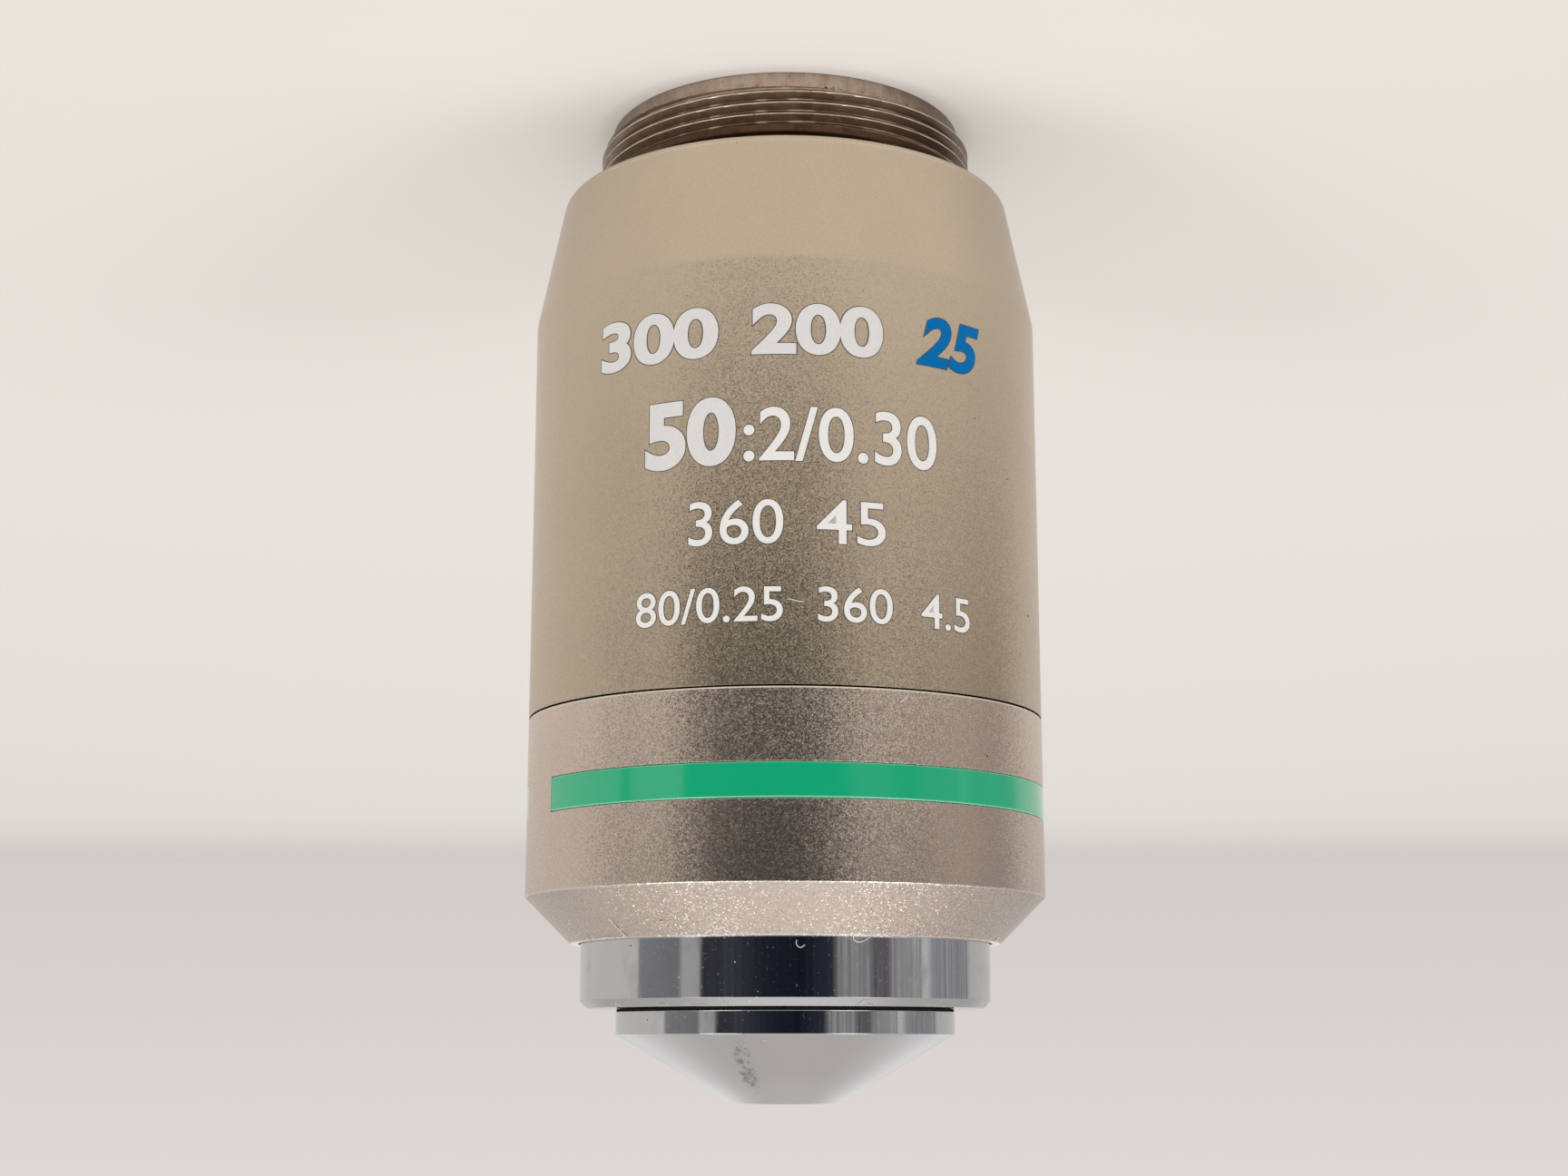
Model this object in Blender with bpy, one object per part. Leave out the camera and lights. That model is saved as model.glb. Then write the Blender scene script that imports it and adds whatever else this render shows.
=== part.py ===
"""A microscope objective of 60 mm parfocal length with a spring-loaded nose, standing on its threaded end.

Sizes are in millimetres here and are written to the scene in metres. The optical axis is +Z, with the
rear end face at height 0 and the front lens at the top. "Front" means towards the tip, and "rear" means
towards the mounting thread. The fixed pieces hang on the empty "barrel", and the pieces that slide back
together on the empty "nose", which travels along -Z. Turned pieces are outlines of (radius, height)
points spun round the axis, in the order rear, outside, front, inside.
"""

import math

import bmesh
import bpy
from mathutils import Vector

MM = 0.001

# Fits between pieces
SEAT_GAP = 0.05
SLIDE_GAP = 0.1
NOSE_GAP = 0.15
CEMENT_GAP = 0.04

# Facets round the axis
METAL_STEPS = 40
GLASS_STEPS = 24
ARC_STEPS = 2

# Mount: M25 thread land with a plain pilot behind it and an undercut in front of it
THREAD_REACH = 5.5
THREAD_RADIUS = 12.5
THREAD_CHAMFER = 0.25
PILOT_STEP = 0.7
PILOT_LENGTH = 1.15
PILOT_CHAMFER = 0.2
UNDERCUT_DEPTH = 0.8
UNDERCUT_LENGTH = 1.35
MOUNT_WALL = 2.1
FLANGE_WALL = 0.85
FLANGE_THICKNESS = 4.0
SPRING_SEAT_HEIGHT = 0.8
GUIDE_SEAT_HEIGHT = 1.5
SHIM_THICKNESS = 0.3

# Outer sleeves, with heights measured from the shoulder
RIM_WALL = 0.65
RIM_CHAMFER = 0.12
TAPER_LENGTH = 8.46
SEAM_HEIGHT = 34.75
SEAM_CHAMFER = 0.1
SPIGOT_LENGTH = 2.0
SPIGOT_WALL = 1.6
FRONT_WALL = 1.57
FRONT_LAND = 0.5
BORE_STEP_CLEARANCE = 0.3
NOSE_PROJECTION = 9.85

# Enamel colour band let into the front sleeve, open over a short arc
BAND_HEIGHT = 39.2
BAND_WIDTH = 2.07
BAND_DEPTH = 0.25
BAND_START_DEG = -13.5
BAND_SWEEP_DEG = 342.7

# Guide tube, and the lens barrel that slides in it
GUIDE_WALL = 0.8
BARREL_WALL = 1.4
COLLAR_STEP = 0.9
COLLAR_LENGTH = 2.3
NOSE_TRAVEL = 2.5
OVERTRAVEL = 0.6

# Dog-point screw in the guide tube, whose pin runs in a slot of the lens barrel
SCREW_HEIGHT = 20.0
SCREW_RADIUS = 1.25
SCREW_SINK = 0.1
SCREW_SLOT_WIDTH = 0.4
SCREW_SLOT_DEPTH = 0.5
SCREW_STEPS = 16
PIN_RADIUS = 0.75
PIN_REACH = 0.6
PIN_SLOT_DEPTH = 0.8
CUTTER_OVERSHOOT = 1.0

# Return spring, wound close at both ends
SPRING_LENGTH = 7.35
SPRING_WIRE = 0.8
SPRING_CLOSED_COILS = 1
SPRING_ACTIVE_COILS = 2
SPRING_POINTS_PER_COIL = 14

# Chromed ring round the lens barrel's front, and the conical cap that screws into the barrel
RING_WALL = 1.5
RING_LENGTH = 8.4
RING_CHAMFER = 0.5
RING_LIP = 0.9
CAP_GROOVE = 0.2
CAP_STEP = 0.76
CAP_LAND = 1.38
CAP_CONE = 4.25
CAP_SKIRT = 2.4
CAVITY_CLEARANCE = 0.4
TIP_LAND = 1.18
TIP_LIP = 1.4

# Front lens: a thick meniscus whose stepped-down face shows in the tip
FRONT_LENS_RECESS = 0.15
FRONT_LENS_FACE_RADIUS = 2.3
FRONT_LENS_EDGE = 4.6
FRONT_LENS_LENGTH = 5.5
FRONT_LENS_FACE_CURVE = 7.0
FRONT_LENS_REAR_CURVE = 6.0
FRONT_AIR = 0.3

# Cells that hold the other lenses, and the rings between and behind them
CELL_WALL = 1.26
CELL_LIP = 0.8
CELL_MARGIN = 0.25
BOSS_WALL = 1.66
EXIT_FLANGE = 1.2
EXIT_GUARD = 0.2
STOP_THICKNESS = 0.5
STOP_RADIUS = 5.6
SPACER_THICKNESS = 0.8
LOCK_RING_THICKNESS = 1.6
LOCK_RING_RECESS = 0.4
LOCK_SLOT_WIDTH = 1.2
LOCK_SLOT_DEPTH = 0.7

# A surface is ground out to this share of its radius of curvature, with a flat rim beyond it
STEEPEST_SURFACE = 0.75

# Lens groups from the front. A radius of curvature is positive where the rim lies nearer the tip than
# the middle, and None where the surface is flat. Air is the space on the axis behind the group.
GROUPS = (
    {
        "name": "meniscus",
        "elements": ("lens",),
        "edge": 6.6,
        "curves": (40.0, 10.0),
        "glass": (3.0,),
        "air": 0.3,
    },
    {
        "name": "collector",
        "elements": ("lens",),
        "edge": 8.0,
        "curves": (None, 14.0),
        "glass": (3.2,),
        "air": 0.3,
    },
    {
        "name": "doublet",
        "elements": ("crown", "flint"),
        "edge": 8.6,
        "curves": (-30.0, 13.0, 26.0),
        "glass": (5.2, 1.4),
        "air": 0.3,
        "behind": "front_spacer",
    },
    {
        "name": "triplet",
        "elements": ("front", "middle", "rear"),
        "edge": 8.7,
        "curves": (-22.0, -12.5, 15.0, 40.0),
        "glass": (1.6, 7.2, 1.4),
        "air": 0.3,
    },
    {
        "name": "corrector",
        "elements": ("crown", "flint"),
        "edge": 8.4,
        "curves": (-25.0, 18.0, None),
        "glass": (4.2, 1.4),
        "air": 0.9,
        "behind": "aperture_stop",
    },
    {
        "name": "pupil",
        "elements": ("crown", "flint"),
        "edge": 7.4,
        "curves": (-12.0, -60.0, -7.5),
        "glass": (5.0, 1.8),
        "air": 6.77,
        "behind": "rear_spacer",
    },
    {
        "name": "exit",
        "elements": ("flint", "crown"),
        "edge": 6.8,
        "curves": (7.5, 30.0, 11.0),
        "glass": (1.6, 2.4),
        "air": 0.0,
    },
)


def sag(curve, radius):
    """How much nearer the tip a ground surface lies at this distance from the axis than at its middle."""
    if curve is None:
        return 0.0
    return math.copysign(abs(curve) - math.sqrt(curve * curve - radius * radius), curve)


def ground_surface(vertex, curve, edge):
    """(radius, height) points of a lens surface, from its middle out to its edge."""
    if curve is None:
        return [(0.0, vertex), (edge, vertex)]
    reach = min(edge, STEEPEST_SURFACE * abs(curve))
    radii = [reach * i / ARC_STEPS for i in range(ARC_STEPS + 1)]
    points = [(radius, vertex + sag(curve, radius)) for radius in radii]
    if reach < edge:
        points.append((edge, points[-1][1]))
    return points


def height_at(points, radius):
    """Height of a faceted surface at a distance from the axis. Past the edge it is the edge's."""
    for (near, low), (far, high) in zip(points, points[1:]):
        if radius <= far:
            return low + (high - low) * (radius - near) / (far - near)
    return points[-1][1]


def raised(points, lift):
    return [(radius, height + lift) for radius, height in points]


def insert_size(name, bore_above):
    """Thickness and bore of what lies behind a cell: the aperture stop, a spacer or nothing."""
    if name == "aperture_stop":
        return STOP_THICKNESS, STOP_RADIUS
    if name:
        return SPACER_THICKNESS, bore_above
    return 0.0, bore_above


def stack_from_tip():
    """Places the glass surfaces and the cells' ends from the tip rearwards, with the tip at height 0."""
    stack = []
    vertex = -FRONT_LENS_RECESS - FRONT_LENS_LENGTH - FRONT_AIR
    for group in GROUPS:
        vertices = [vertex]
        for thickness in group["glass"]:
            vertices.append(vertices[-1] - thickness)
        surfaces = [ground_surface(v, c, group["edge"]) for v, c in zip(vertices, group["curves"])]
        stack.append({**group, "surfaces": surfaces, "lip": group["edge"] - CELL_LIP})
        vertex = vertices[-1] - group["air"]
    stack[0]["top"] = stack[0]["surfaces"][0][-1][1] + CELL_MARGIN
    for cell, following in zip(stack, stack[1:]):
        thickness, bore = insert_size(cell.get("behind"), cell["lip"])
        front = following["surfaces"][0]
        following["top"] = max(front[-1][1], height_at(front, bore)) + CELL_MARGIN
        cell["insert"] = following["top"] + SEAT_GAP
        cell["bottom"] = cell["insert"] + (thickness + SEAT_GAP if thickness else 0.0)
    stack[-1]["bottom"] = stack[-1]["surfaces"][-1][0][1] - EXIT_GUARD
    return stack


STACK = stack_from_tip()
LARGEST_EDGE = max(group["edge"] for group in GROUPS)

# Heights from the mount forwards, as far as the lens barrel's rear end
SHOULDER = THREAD_REACH
SPRING_SEAT = SHOULDER + SPRING_SEAT_HEIGHT
GUIDE_SEAT = SHOULDER + GUIDE_SEAT_HEIGHT
GUIDE_REAR = GUIDE_SEAT + SHIM_THICKNESS + 2 * SEAT_GAP
FLANGE_FRONT = SHOULDER + FLANGE_THICKNESS
SEAM = SHOULDER + SEAM_HEIGHT
SPIGOT_FRONT = SEAM + SPIGOT_LENGTH
SCREW = SHOULDER + SCREW_HEIGHT
BARREL_REAR = SPRING_SEAT + SPRING_LENGTH
COLLAR_FRONT = BARREL_REAR + COLLAR_LENGTH
GUIDE_STOP = COLLAR_FRONT + SEAT_GAP

# The lock ring and the stack of cells stand on the lens barrel's rear end and set the tip's height
LOCK_RING_REAR = BARREL_REAR + LOCK_RING_RECESS
LOCK_RING_FRONT = LOCK_RING_REAR + LOCK_RING_THICKNESS
EXIT_FLANGE_REAR = LOCK_RING_FRONT + SEAT_GAP
TIP = EXIT_FLANGE_REAR + EXIT_FLANGE - STACK[-1]["top"]

# Heights from the tip rearwards
CAP_SHOULDER = TIP - CAP_CONE
CAP_REAR = CAP_SHOULDER - CAP_LAND
SKIRT_REAR = CAP_REAR - CAP_SKIRT
CAVITY_FRONT = TIP + STACK[0]["top"] + CAVITY_CLEARANCE
RING_FRONT = CAP_REAR - CAP_GROOVE
RING_REAR = RING_FRONT - RING_LENGTH
BARREL_FRONT = RING_FRONT - RING_LIP - SEAT_GAP
GUIDE_FRONT = RING_REAR - NOSE_TRAVEL - OVERTRAVEL
BORE_STEP = GUIDE_FRONT + BORE_STEP_CLEARANCE
BODY_FRONT = TIP - NOSE_PROJECTION

# Radii from the glass outwards
CELL_RADIUS = LARGEST_EDGE + CEMENT_GAP + CELL_WALL
BOSS_RADIUS = GROUPS[0]["edge"] + CEMENT_GAP + BOSS_WALL
EXIT_BOSS_RADIUS = GROUPS[-1]["edge"] + CEMENT_GAP + BOSS_WALL
LOCK_RING_BORE = EXIT_BOSS_RADIUS + SLIDE_GAP
BARREL_BORE = CELL_RADIUS + SLIDE_GAP
BARREL_RADIUS = BARREL_BORE + BARREL_WALL
COLLAR_RADIUS = BARREL_RADIUS + COLLAR_STEP
GUIDE_BORE = BARREL_RADIUS + SLIDE_GAP
GUIDE_COUNTERBORE = COLLAR_RADIUS + SLIDE_GAP
GUIDE_RADIUS = GUIDE_COUNTERBORE + GUIDE_WALL
SLEEVE_BORE = GUIDE_RADIUS + SLIDE_GAP
SPIGOT_RADIUS = SLEEVE_BORE + SPIGOT_WALL
SPIGOT_SOCKET = SPIGOT_RADIUS + SEAT_GAP
BODY_RADIUS = SPIGOT_SOCKET + FRONT_WALL
FLANGE_RADIUS = GUIDE_RADIUS + SEAT_GAP + FLANGE_WALL
FLANGE_SOCKET = FLANGE_RADIUS + SEAT_GAP
RIM_RADIUS = FLANGE_SOCKET + RIM_WALL
SPRING_MEAN_RADIUS = (BARREL_BORE + COLLAR_RADIUS) / 2

# Radii of the nose and the mount
RING_BORE = BARREL_RADIUS + SEAT_GAP
RING_RADIUS = RING_BORE + RING_WALL
FRONT_BORE = RING_RADIUS + NOSE_GAP
FRONT_RIM = FRONT_BORE + FRONT_LAND
CAP_NECK = BARREL_BORE - SLIDE_GAP
CAP_RADIUS = CAP_NECK + CAP_STEP
CAP_CAVITY = BOSS_RADIUS + SLIDE_GAP
TIP_APERTURE = FRONT_LENS_FACE_RADIUS + CEMENT_GAP
TIP_RADIUS = TIP_APERTURE + TIP_LAND
PILOT_RADIUS = THREAD_RADIUS - PILOT_STEP
UNDERCUT_RADIUS = THREAD_RADIUS - UNDERCUT_DEPTH
MOUNT_BORE = UNDERCUT_RADIUS - MOUNT_WALL

# Finish: (colour, roughness, metallic, transmission)
FINISHES = {
    "champagne": ((0.46, 0.41, 0.35), 0.38, 0.8, 0.0),
    "dark_nickel": ((0.33, 0.27, 0.22), 0.3, 1.0, 0.0),
    "chrome": ((0.75, 0.76, 0.78), 0.12, 1.0, 0.0),
    "satin_chrome": ((0.5, 0.5, 0.49), 0.4, 0.9, 0.0),
    "black_brass": ((0.03, 0.03, 0.032), 0.5, 0.6, 0.0),
    "plain_brass": ((0.62, 0.5, 0.27), 0.35, 1.0, 0.0),
    "spring_steel": ((0.6, 0.6, 0.6), 0.25, 1.0, 0.0),
    "green_enamel": ((0.03, 0.4, 0.2), 0.2, 0.0, 0.0),
    "optical_glass": ((0.75, 0.85, 0.86), 0.03, 0.0, 0.9),
}


def clear_scene():
    for old in list(bpy.data.objects):
        bpy.data.objects.remove(old)


def material(finish):
    found = bpy.data.materials.get(finish)
    if found:
        return found
    colour, roughness, metallic, transmission = FINISHES[finish]
    made = bpy.data.materials.new(finish)
    made.use_nodes = True
    shader = made.node_tree.nodes["Principled BSDF"]
    shader.inputs["Base Color"].default_value = (*colour, 1.0)
    shader.inputs["Roughness"].default_value = roughness
    shader.inputs["Metallic"].default_value = metallic
    shader.inputs["Transmission Weight"].default_value = transmission
    return made


def placed(name, data, finish, parent):
    """Adds mesh or curve data to the scene as a named object under its body's empty."""
    data.materials.append(material(finish))
    made = bpy.data.objects.new(name, data)
    made.parent = parent
    bpy.context.scene.collection.objects.link(made)
    return made


def solid(name, bm, finish, parent):
    """Makes an object of a bmesh drawn in millimetres, shaded smooth with its edges kept crisp."""
    bmesh.ops.remove_doubles(bm, verts=bm.verts, dist=1e-5)
    bmesh.ops.recalc_face_normals(bm, faces=bm.faces)
    bmesh.ops.scale(bm, vec=(MM, MM, MM), verts=bm.verts)
    mesh = bpy.data.meshes.new(name)
    bm.to_mesh(mesh)
    bm.free()
    mesh.shade_smooth()
    mesh.set_sharp_from_angle(angle=math.radians(20))
    return placed(name, mesh, finish, parent)


def turned(name, outline, finish, parent, steps=METAL_STEPS):
    """Spins an outline of (radius, height) points round the axis. It closes on itself or on the axis."""
    bm = bmesh.new()
    verts = [bm.verts.new((radius, 0.0, height)) for radius, height in outline]
    pairs = [(verts[i - 1], verts[i]) for i in range(len(verts))]
    edges = [bm.edges.new(pair) for pair in pairs if max(pair[0].co.x, pair[1].co.x) > 0]
    bmesh.ops.spin(bm, geom=verts + edges, axis=(0, 0, 1), angle=2 * math.pi, steps=steps, use_merge=True)
    return solid(name, bm, finish, parent)


def ring_outline(inner, outer, rear, front):
    return [(inner, rear), (outer, rear), (outer, front), (inner, front)]


def ring_segment(name, outline, start_deg, sweep_deg, finish, parent):
    """Sweeps an outline of (radius, height) points part of the way round the axis, with closed ends."""
    steps = max(2, round(METAL_STEPS * sweep_deg / 360))
    start = math.radians(start_deg)
    bm = bmesh.new()
    across = (math.cos(start), math.sin(start))
    verts = [bm.verts.new((r * across[0], r * across[1], z)) for r, z in outline]
    section = bm.faces.new(verts)
    geom = [section, *section.edges, *section.verts]
    bmesh.ops.spin(bm, geom=geom, axis=(0, 0, 1), angle=math.radians(sweep_deg), steps=steps)
    return solid(name, bm, finish, parent)


def slab(name, low, high, parent):
    """A box between two corners, for cutting."""
    bm = bmesh.new()
    bmesh.ops.create_cube(bm, size=1.0)
    bmesh.ops.scale(bm, vec=Vector(high) - Vector(low), verts=bm.verts)
    bmesh.ops.translate(bm, vec=(Vector(low) + Vector(high)) / 2, verts=bm.verts)
    return solid(name, bm, "black_brass", parent)


def cut(piece, cutter):
    """Takes the cutter's volume out of the piece. The cutter stays as a hidden guide."""
    cutter.hide_render = True
    cutter.display_type = "WIRE"
    modifier = piece.modifiers.new(cutter.name, "BOOLEAN")
    modifier.operation = "DIFFERENCE"
    modifier.object = cutter


def lay_radially(piece):
    """Turns a piece drawn along +Z so that it points along +Y, at the guide screw's height."""
    piece.rotation_euler = (-math.pi / 2, 0, 0)
    piece.location = (0, 0, SCREW * MM)


def mount_ring(parent):
    """Rear ring: thread, flange behind the shoulder, and the seats of the spring and the guide tube."""
    thread_rear = PILOT_LENGTH
    thread_front = SHOULDER - UNDERCUT_LENGTH
    outline = [
        (MOUNT_BORE + PILOT_CHAMFER, 0.0),
        (PILOT_RADIUS - PILOT_CHAMFER, 0.0),
        (PILOT_RADIUS, PILOT_CHAMFER),
        (PILOT_RADIUS, thread_rear),
        (THREAD_RADIUS - THREAD_CHAMFER, thread_rear),
        (THREAD_RADIUS, thread_rear + THREAD_CHAMFER),
        (THREAD_RADIUS, thread_front - THREAD_CHAMFER),
        (THREAD_RADIUS - THREAD_CHAMFER, thread_front),
        (UNDERCUT_RADIUS, thread_front),
        (UNDERCUT_RADIUS, SHOULDER),
        (FLANGE_RADIUS, SHOULDER),
        (FLANGE_RADIUS, FLANGE_FRONT),
        (GUIDE_RADIUS + SEAT_GAP, FLANGE_FRONT),
        (GUIDE_RADIUS + SEAT_GAP, GUIDE_SEAT),
        (GUIDE_COUNTERBORE, GUIDE_SEAT),
        (GUIDE_COUNTERBORE, SPRING_SEAT),
        (MOUNT_BORE, SPRING_SEAT),
        (MOUNT_BORE, PILOT_CHAMFER),
    ]
    return turned("mount_ring", outline, "dark_nickel", parent)


def body_sleeve(parent):
    """Long outer sleeve: tapered towards the shoulder, with a spigot for the front sleeve."""
    socket_front = FLANGE_FRONT + SEAT_GAP
    outline = [
        (FLANGE_SOCKET, SHOULDER),
        (RIM_RADIUS - RIM_CHAMFER, SHOULDER),
        (RIM_RADIUS, SHOULDER + RIM_CHAMFER),
        (BODY_RADIUS, SHOULDER + TAPER_LENGTH),
        (BODY_RADIUS, SEAM - SEAM_CHAMFER),
        (BODY_RADIUS - SEAM_CHAMFER, SEAM),
        (SPIGOT_RADIUS, SEAM),
        (SPIGOT_RADIUS, SPIGOT_FRONT),
        (SLEEVE_BORE, SPIGOT_FRONT),
        (SLEEVE_BORE, socket_front),
        (FLANGE_SOCKET, socket_front),
    ]
    return turned("body_sleeve", outline, "champagne", parent)


def front_sleeve(parent):
    """Short outer sleeve with the wide front chamfer, cut for the colour band."""
    rear = SEAM + SEAT_GAP
    socket_front = SPIGOT_FRONT + SEAT_GAP
    outline = [
        (SPIGOT_SOCKET, rear),
        (BODY_RADIUS - SEAM_CHAMFER, rear),
        (BODY_RADIUS, rear + SEAM_CHAMFER),
        (BODY_RADIUS, BODY_FRONT - (BODY_RADIUS - FRONT_RIM)),
        (FRONT_RIM, BODY_FRONT),
        (FRONT_BORE, BODY_FRONT),
        (FRONT_BORE, BORE_STEP),
        (SLEEVE_BORE, BORE_STEP),
        (SLEEVE_BORE, socket_front),
        (SPIGOT_SOCKET, socket_front),
    ]
    sleeve = turned("front_sleeve", outline, "champagne", parent)
    band_rear = SHOULDER + BAND_HEIGHT
    groove = ring_outline(
        BODY_RADIUS - BAND_DEPTH,
        BODY_RADIUS + CUTTER_OVERSHOOT,
        band_rear - SEAT_GAP,
        band_rear + BAND_WIDTH + SEAT_GAP,
    )
    clearance = math.degrees(SEAT_GAP / BODY_RADIUS)
    start = BAND_START_DEG - clearance
    sweep = BAND_SWEEP_DEG + 2 * clearance
    cut(sleeve, ring_segment("band_groove", groove, start, sweep, "green_enamel", parent))
    return sleeve


def colour_band(parent):
    rear = SHOULDER + BAND_HEIGHT
    outline = ring_outline(BODY_RADIUS - BAND_DEPTH + SEAT_GAP, BODY_RADIUS, rear, rear + BAND_WIDTH)
    return ring_segment("colour_band", outline, BAND_START_DEG, BAND_SWEEP_DEG, "green_enamel", parent)


def parfocal_shim(parent):
    rear = GUIDE_SEAT + SEAT_GAP
    outline = ring_outline(GUIDE_COUNTERBORE, GUIDE_RADIUS, rear, rear + SHIM_THICKNESS)
    return turned("parfocal_shim", outline, "plain_brass", parent)


def guide_tube(parent):
    """Tube that the lens barrel slides in. The step in its bore stops the barrel's collar."""
    outline = [
        (GUIDE_COUNTERBORE, GUIDE_REAR),
        (GUIDE_RADIUS, GUIDE_REAR),
        (GUIDE_RADIUS, GUIDE_FRONT),
        (GUIDE_BORE, GUIDE_FRONT),
        (GUIDE_BORE, GUIDE_STOP),
        (GUIDE_COUNTERBORE, GUIDE_STOP),
    ]
    tube = turned("guide_tube", outline, "plain_brass", parent)
    hole = [
        (0.0, GUIDE_BORE - CUTTER_OVERSHOOT),
        (SCREW_RADIUS + SEAT_GAP, GUIDE_BORE - CUTTER_OVERSHOOT),
        (SCREW_RADIUS + SEAT_GAP, GUIDE_RADIUS + CUTTER_OVERSHOOT),
        (0.0, GUIDE_RADIUS + CUTTER_OVERSHOOT),
    ]
    cutter = turned("screw_hole", hole, "plain_brass", parent, SCREW_STEPS)
    lay_radially(cutter)
    cut(tube, cutter)
    return tube


def guide_screw(parent):
    """Slotted dog-point screw, from its pin outwards."""
    pin_end = BARREL_RADIUS - PIN_REACH
    pin_root = GUIDE_BORE + SLIDE_GAP
    head = GUIDE_RADIUS - SCREW_SINK
    outline = [
        (0.0, pin_end),
        (PIN_RADIUS, pin_end),
        (PIN_RADIUS, pin_root),
        (SCREW_RADIUS, pin_root),
        (SCREW_RADIUS, head),
        (0.0, head),
    ]
    screw = turned("guide_screw", outline, "spring_steel", parent, SCREW_STEPS)
    low = (-SCREW_RADIUS - CUTTER_OVERSHOOT, -SCREW_SLOT_WIDTH / 2, head - SCREW_SLOT_DEPTH)
    high = (SCREW_RADIUS + CUTTER_OVERSHOOT, SCREW_SLOT_WIDTH / 2, head + CUTTER_OVERSHOOT)
    slot = slab("screw_slot", low, high, parent)
    lay_radially(screw)
    lay_radially(slot)
    cut(screw, slot)
    return screw


def return_spring(parent):
    """Wire coil between the mount and the lens barrel, with close-wound coils at both ends."""
    rear = SPRING_SEAT + SEAT_GAP + SPRING_WIRE / 2
    front = BARREL_REAR - SEAT_GAP - SPRING_WIRE / 2
    closed_rise = SPRING_CLOSED_COILS * (SPRING_WIRE + SEAT_GAP)
    active_rise = front - rear - 2 * closed_rise
    turns = [0, SPRING_CLOSED_COILS, SPRING_CLOSED_COILS + SPRING_ACTIVE_COILS]
    turns.append(turns[-1] + SPRING_CLOSED_COILS)
    heights = [rear, rear + closed_rise, rear + closed_rise + active_rise, front]
    rise = list(zip(turns, heights))
    count = SPRING_POINTS_PER_COIL * turns[-1] + 1
    curve = bpy.data.curves.new("return_spring", "CURVE")
    curve.dimensions = "3D"
    curve.bevel_depth = SPRING_WIRE / 2 * MM
    curve.bevel_resolution = 1
    curve.use_fill_caps = True
    wire = curve.splines.new("POLY")
    wire.points.add(count - 1)
    for i, point in enumerate(wire.points):
        turn = i / SPRING_POINTS_PER_COIL
        angle = 2 * math.pi * turn
        x = SPRING_MEAN_RADIUS * math.cos(angle)
        y = SPRING_MEAN_RADIUS * math.sin(angle)
        point.co = (x * MM, y * MM, height_at(rise, turn) * MM, 1.0)
    return placed("return_spring", curve, "spring_steel", parent)


def lens_barrel(parent):
    """Tube that holds the cells, with the collar that rests on the guide tube's stop."""
    outline = [
        (BARREL_BORE, BARREL_REAR),
        (COLLAR_RADIUS, BARREL_REAR),
        (COLLAR_RADIUS, COLLAR_FRONT),
        (BARREL_RADIUS, COLLAR_FRONT),
        (BARREL_RADIUS, BARREL_FRONT),
        (BARREL_BORE, BARREL_FRONT),
    ]
    barrel = turned("lens_barrel", outline, "plain_brass", parent)
    reach = PIN_RADIUS + SLIDE_GAP
    low = (-reach, BARREL_RADIUS - PIN_SLOT_DEPTH, SCREW - reach)
    high = (reach, BARREL_RADIUS + CUTTER_OVERSHOOT, SCREW + reach + NOSE_TRAVEL)
    cut(barrel, slab("pin_slot", low, high, parent))
    return barrel


def nose_ring(parent):
    """Chromed ring over the lens barrel's front, with a lip that the cap's neck passes through."""
    lip_bore = CAP_NECK + SEAT_GAP
    outline = [
        (RING_BORE, RING_REAR),
        (RING_RADIUS, RING_REAR),
        (RING_RADIUS, RING_FRONT - RING_CHAMFER),
        (RING_RADIUS - RING_CHAMFER, RING_FRONT),
        (lip_bore, RING_FRONT),
        (lip_bore, RING_FRONT - RING_LIP),
        (RING_BORE, RING_FRONT - RING_LIP),
    ]
    return turned("nose_ring", outline, "chrome", parent)


def nose_cone(parent):
    """Conical cap with the front lens' bore and the room for the meniscus cell."""
    lens_bore = FRONT_LENS_EDGE + CEMENT_GAP
    outline = [
        (CAP_CAVITY, SKIRT_REAR),
        (CAP_NECK, SKIRT_REAR),
        (CAP_NECK, CAP_REAR),
        (CAP_RADIUS, CAP_REAR),
        (CAP_RADIUS, CAP_SHOULDER),
        (TIP_RADIUS, TIP),
        (TIP_APERTURE, TIP),
        (TIP_APERTURE, TIP - TIP_LIP),
        (lens_bore, TIP - TIP_LIP),
        (lens_bore, CAVITY_FRONT),
        (CAP_CAVITY, CAVITY_FRONT),
    ]
    return turned("nose_cone", outline, "satin_chrome", parent)


def front_lens(parent):
    """Thick meniscus, seated behind the tip's lip."""
    rim = TIP - FRONT_LENS_RECESS
    face_middle = rim - sag(FRONT_LENS_FACE_CURVE, FRONT_LENS_FACE_RADIUS)
    face = ground_surface(face_middle, FRONT_LENS_FACE_CURVE, FRONT_LENS_FACE_RADIUS)
    rear = ground_surface(rim - FRONT_LENS_LENGTH, FRONT_LENS_REAR_CURVE, FRONT_LENS_EDGE)
    shoulder = TIP - TIP_LIP - SEAT_GAP
    step = [(FRONT_LENS_FACE_RADIUS, shoulder), (FRONT_LENS_EDGE, shoulder)]
    return turned("front_lens", face + step + rear[::-1], "optical_glass", parent, GLASS_STEPS)


def lens_elements(group, parent):
    """The glass of one group. Cemented faces are half the cement's thickness apart on each side."""
    last = len(group["elements"]) - 1
    for i, element in enumerate(group["elements"]):
        front = raised(group["surfaces"][i], TIP - (CEMENT_GAP / 2 if i > 0 else 0.0))
        rear = raised(group["surfaces"][i + 1], TIP + (CEMENT_GAP / 2 if i < last else 0.0))
        name = group["name"] + "_" + element
        turned(name, front + rear[::-1], "optical_glass", parent, GLASS_STEPS)


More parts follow.
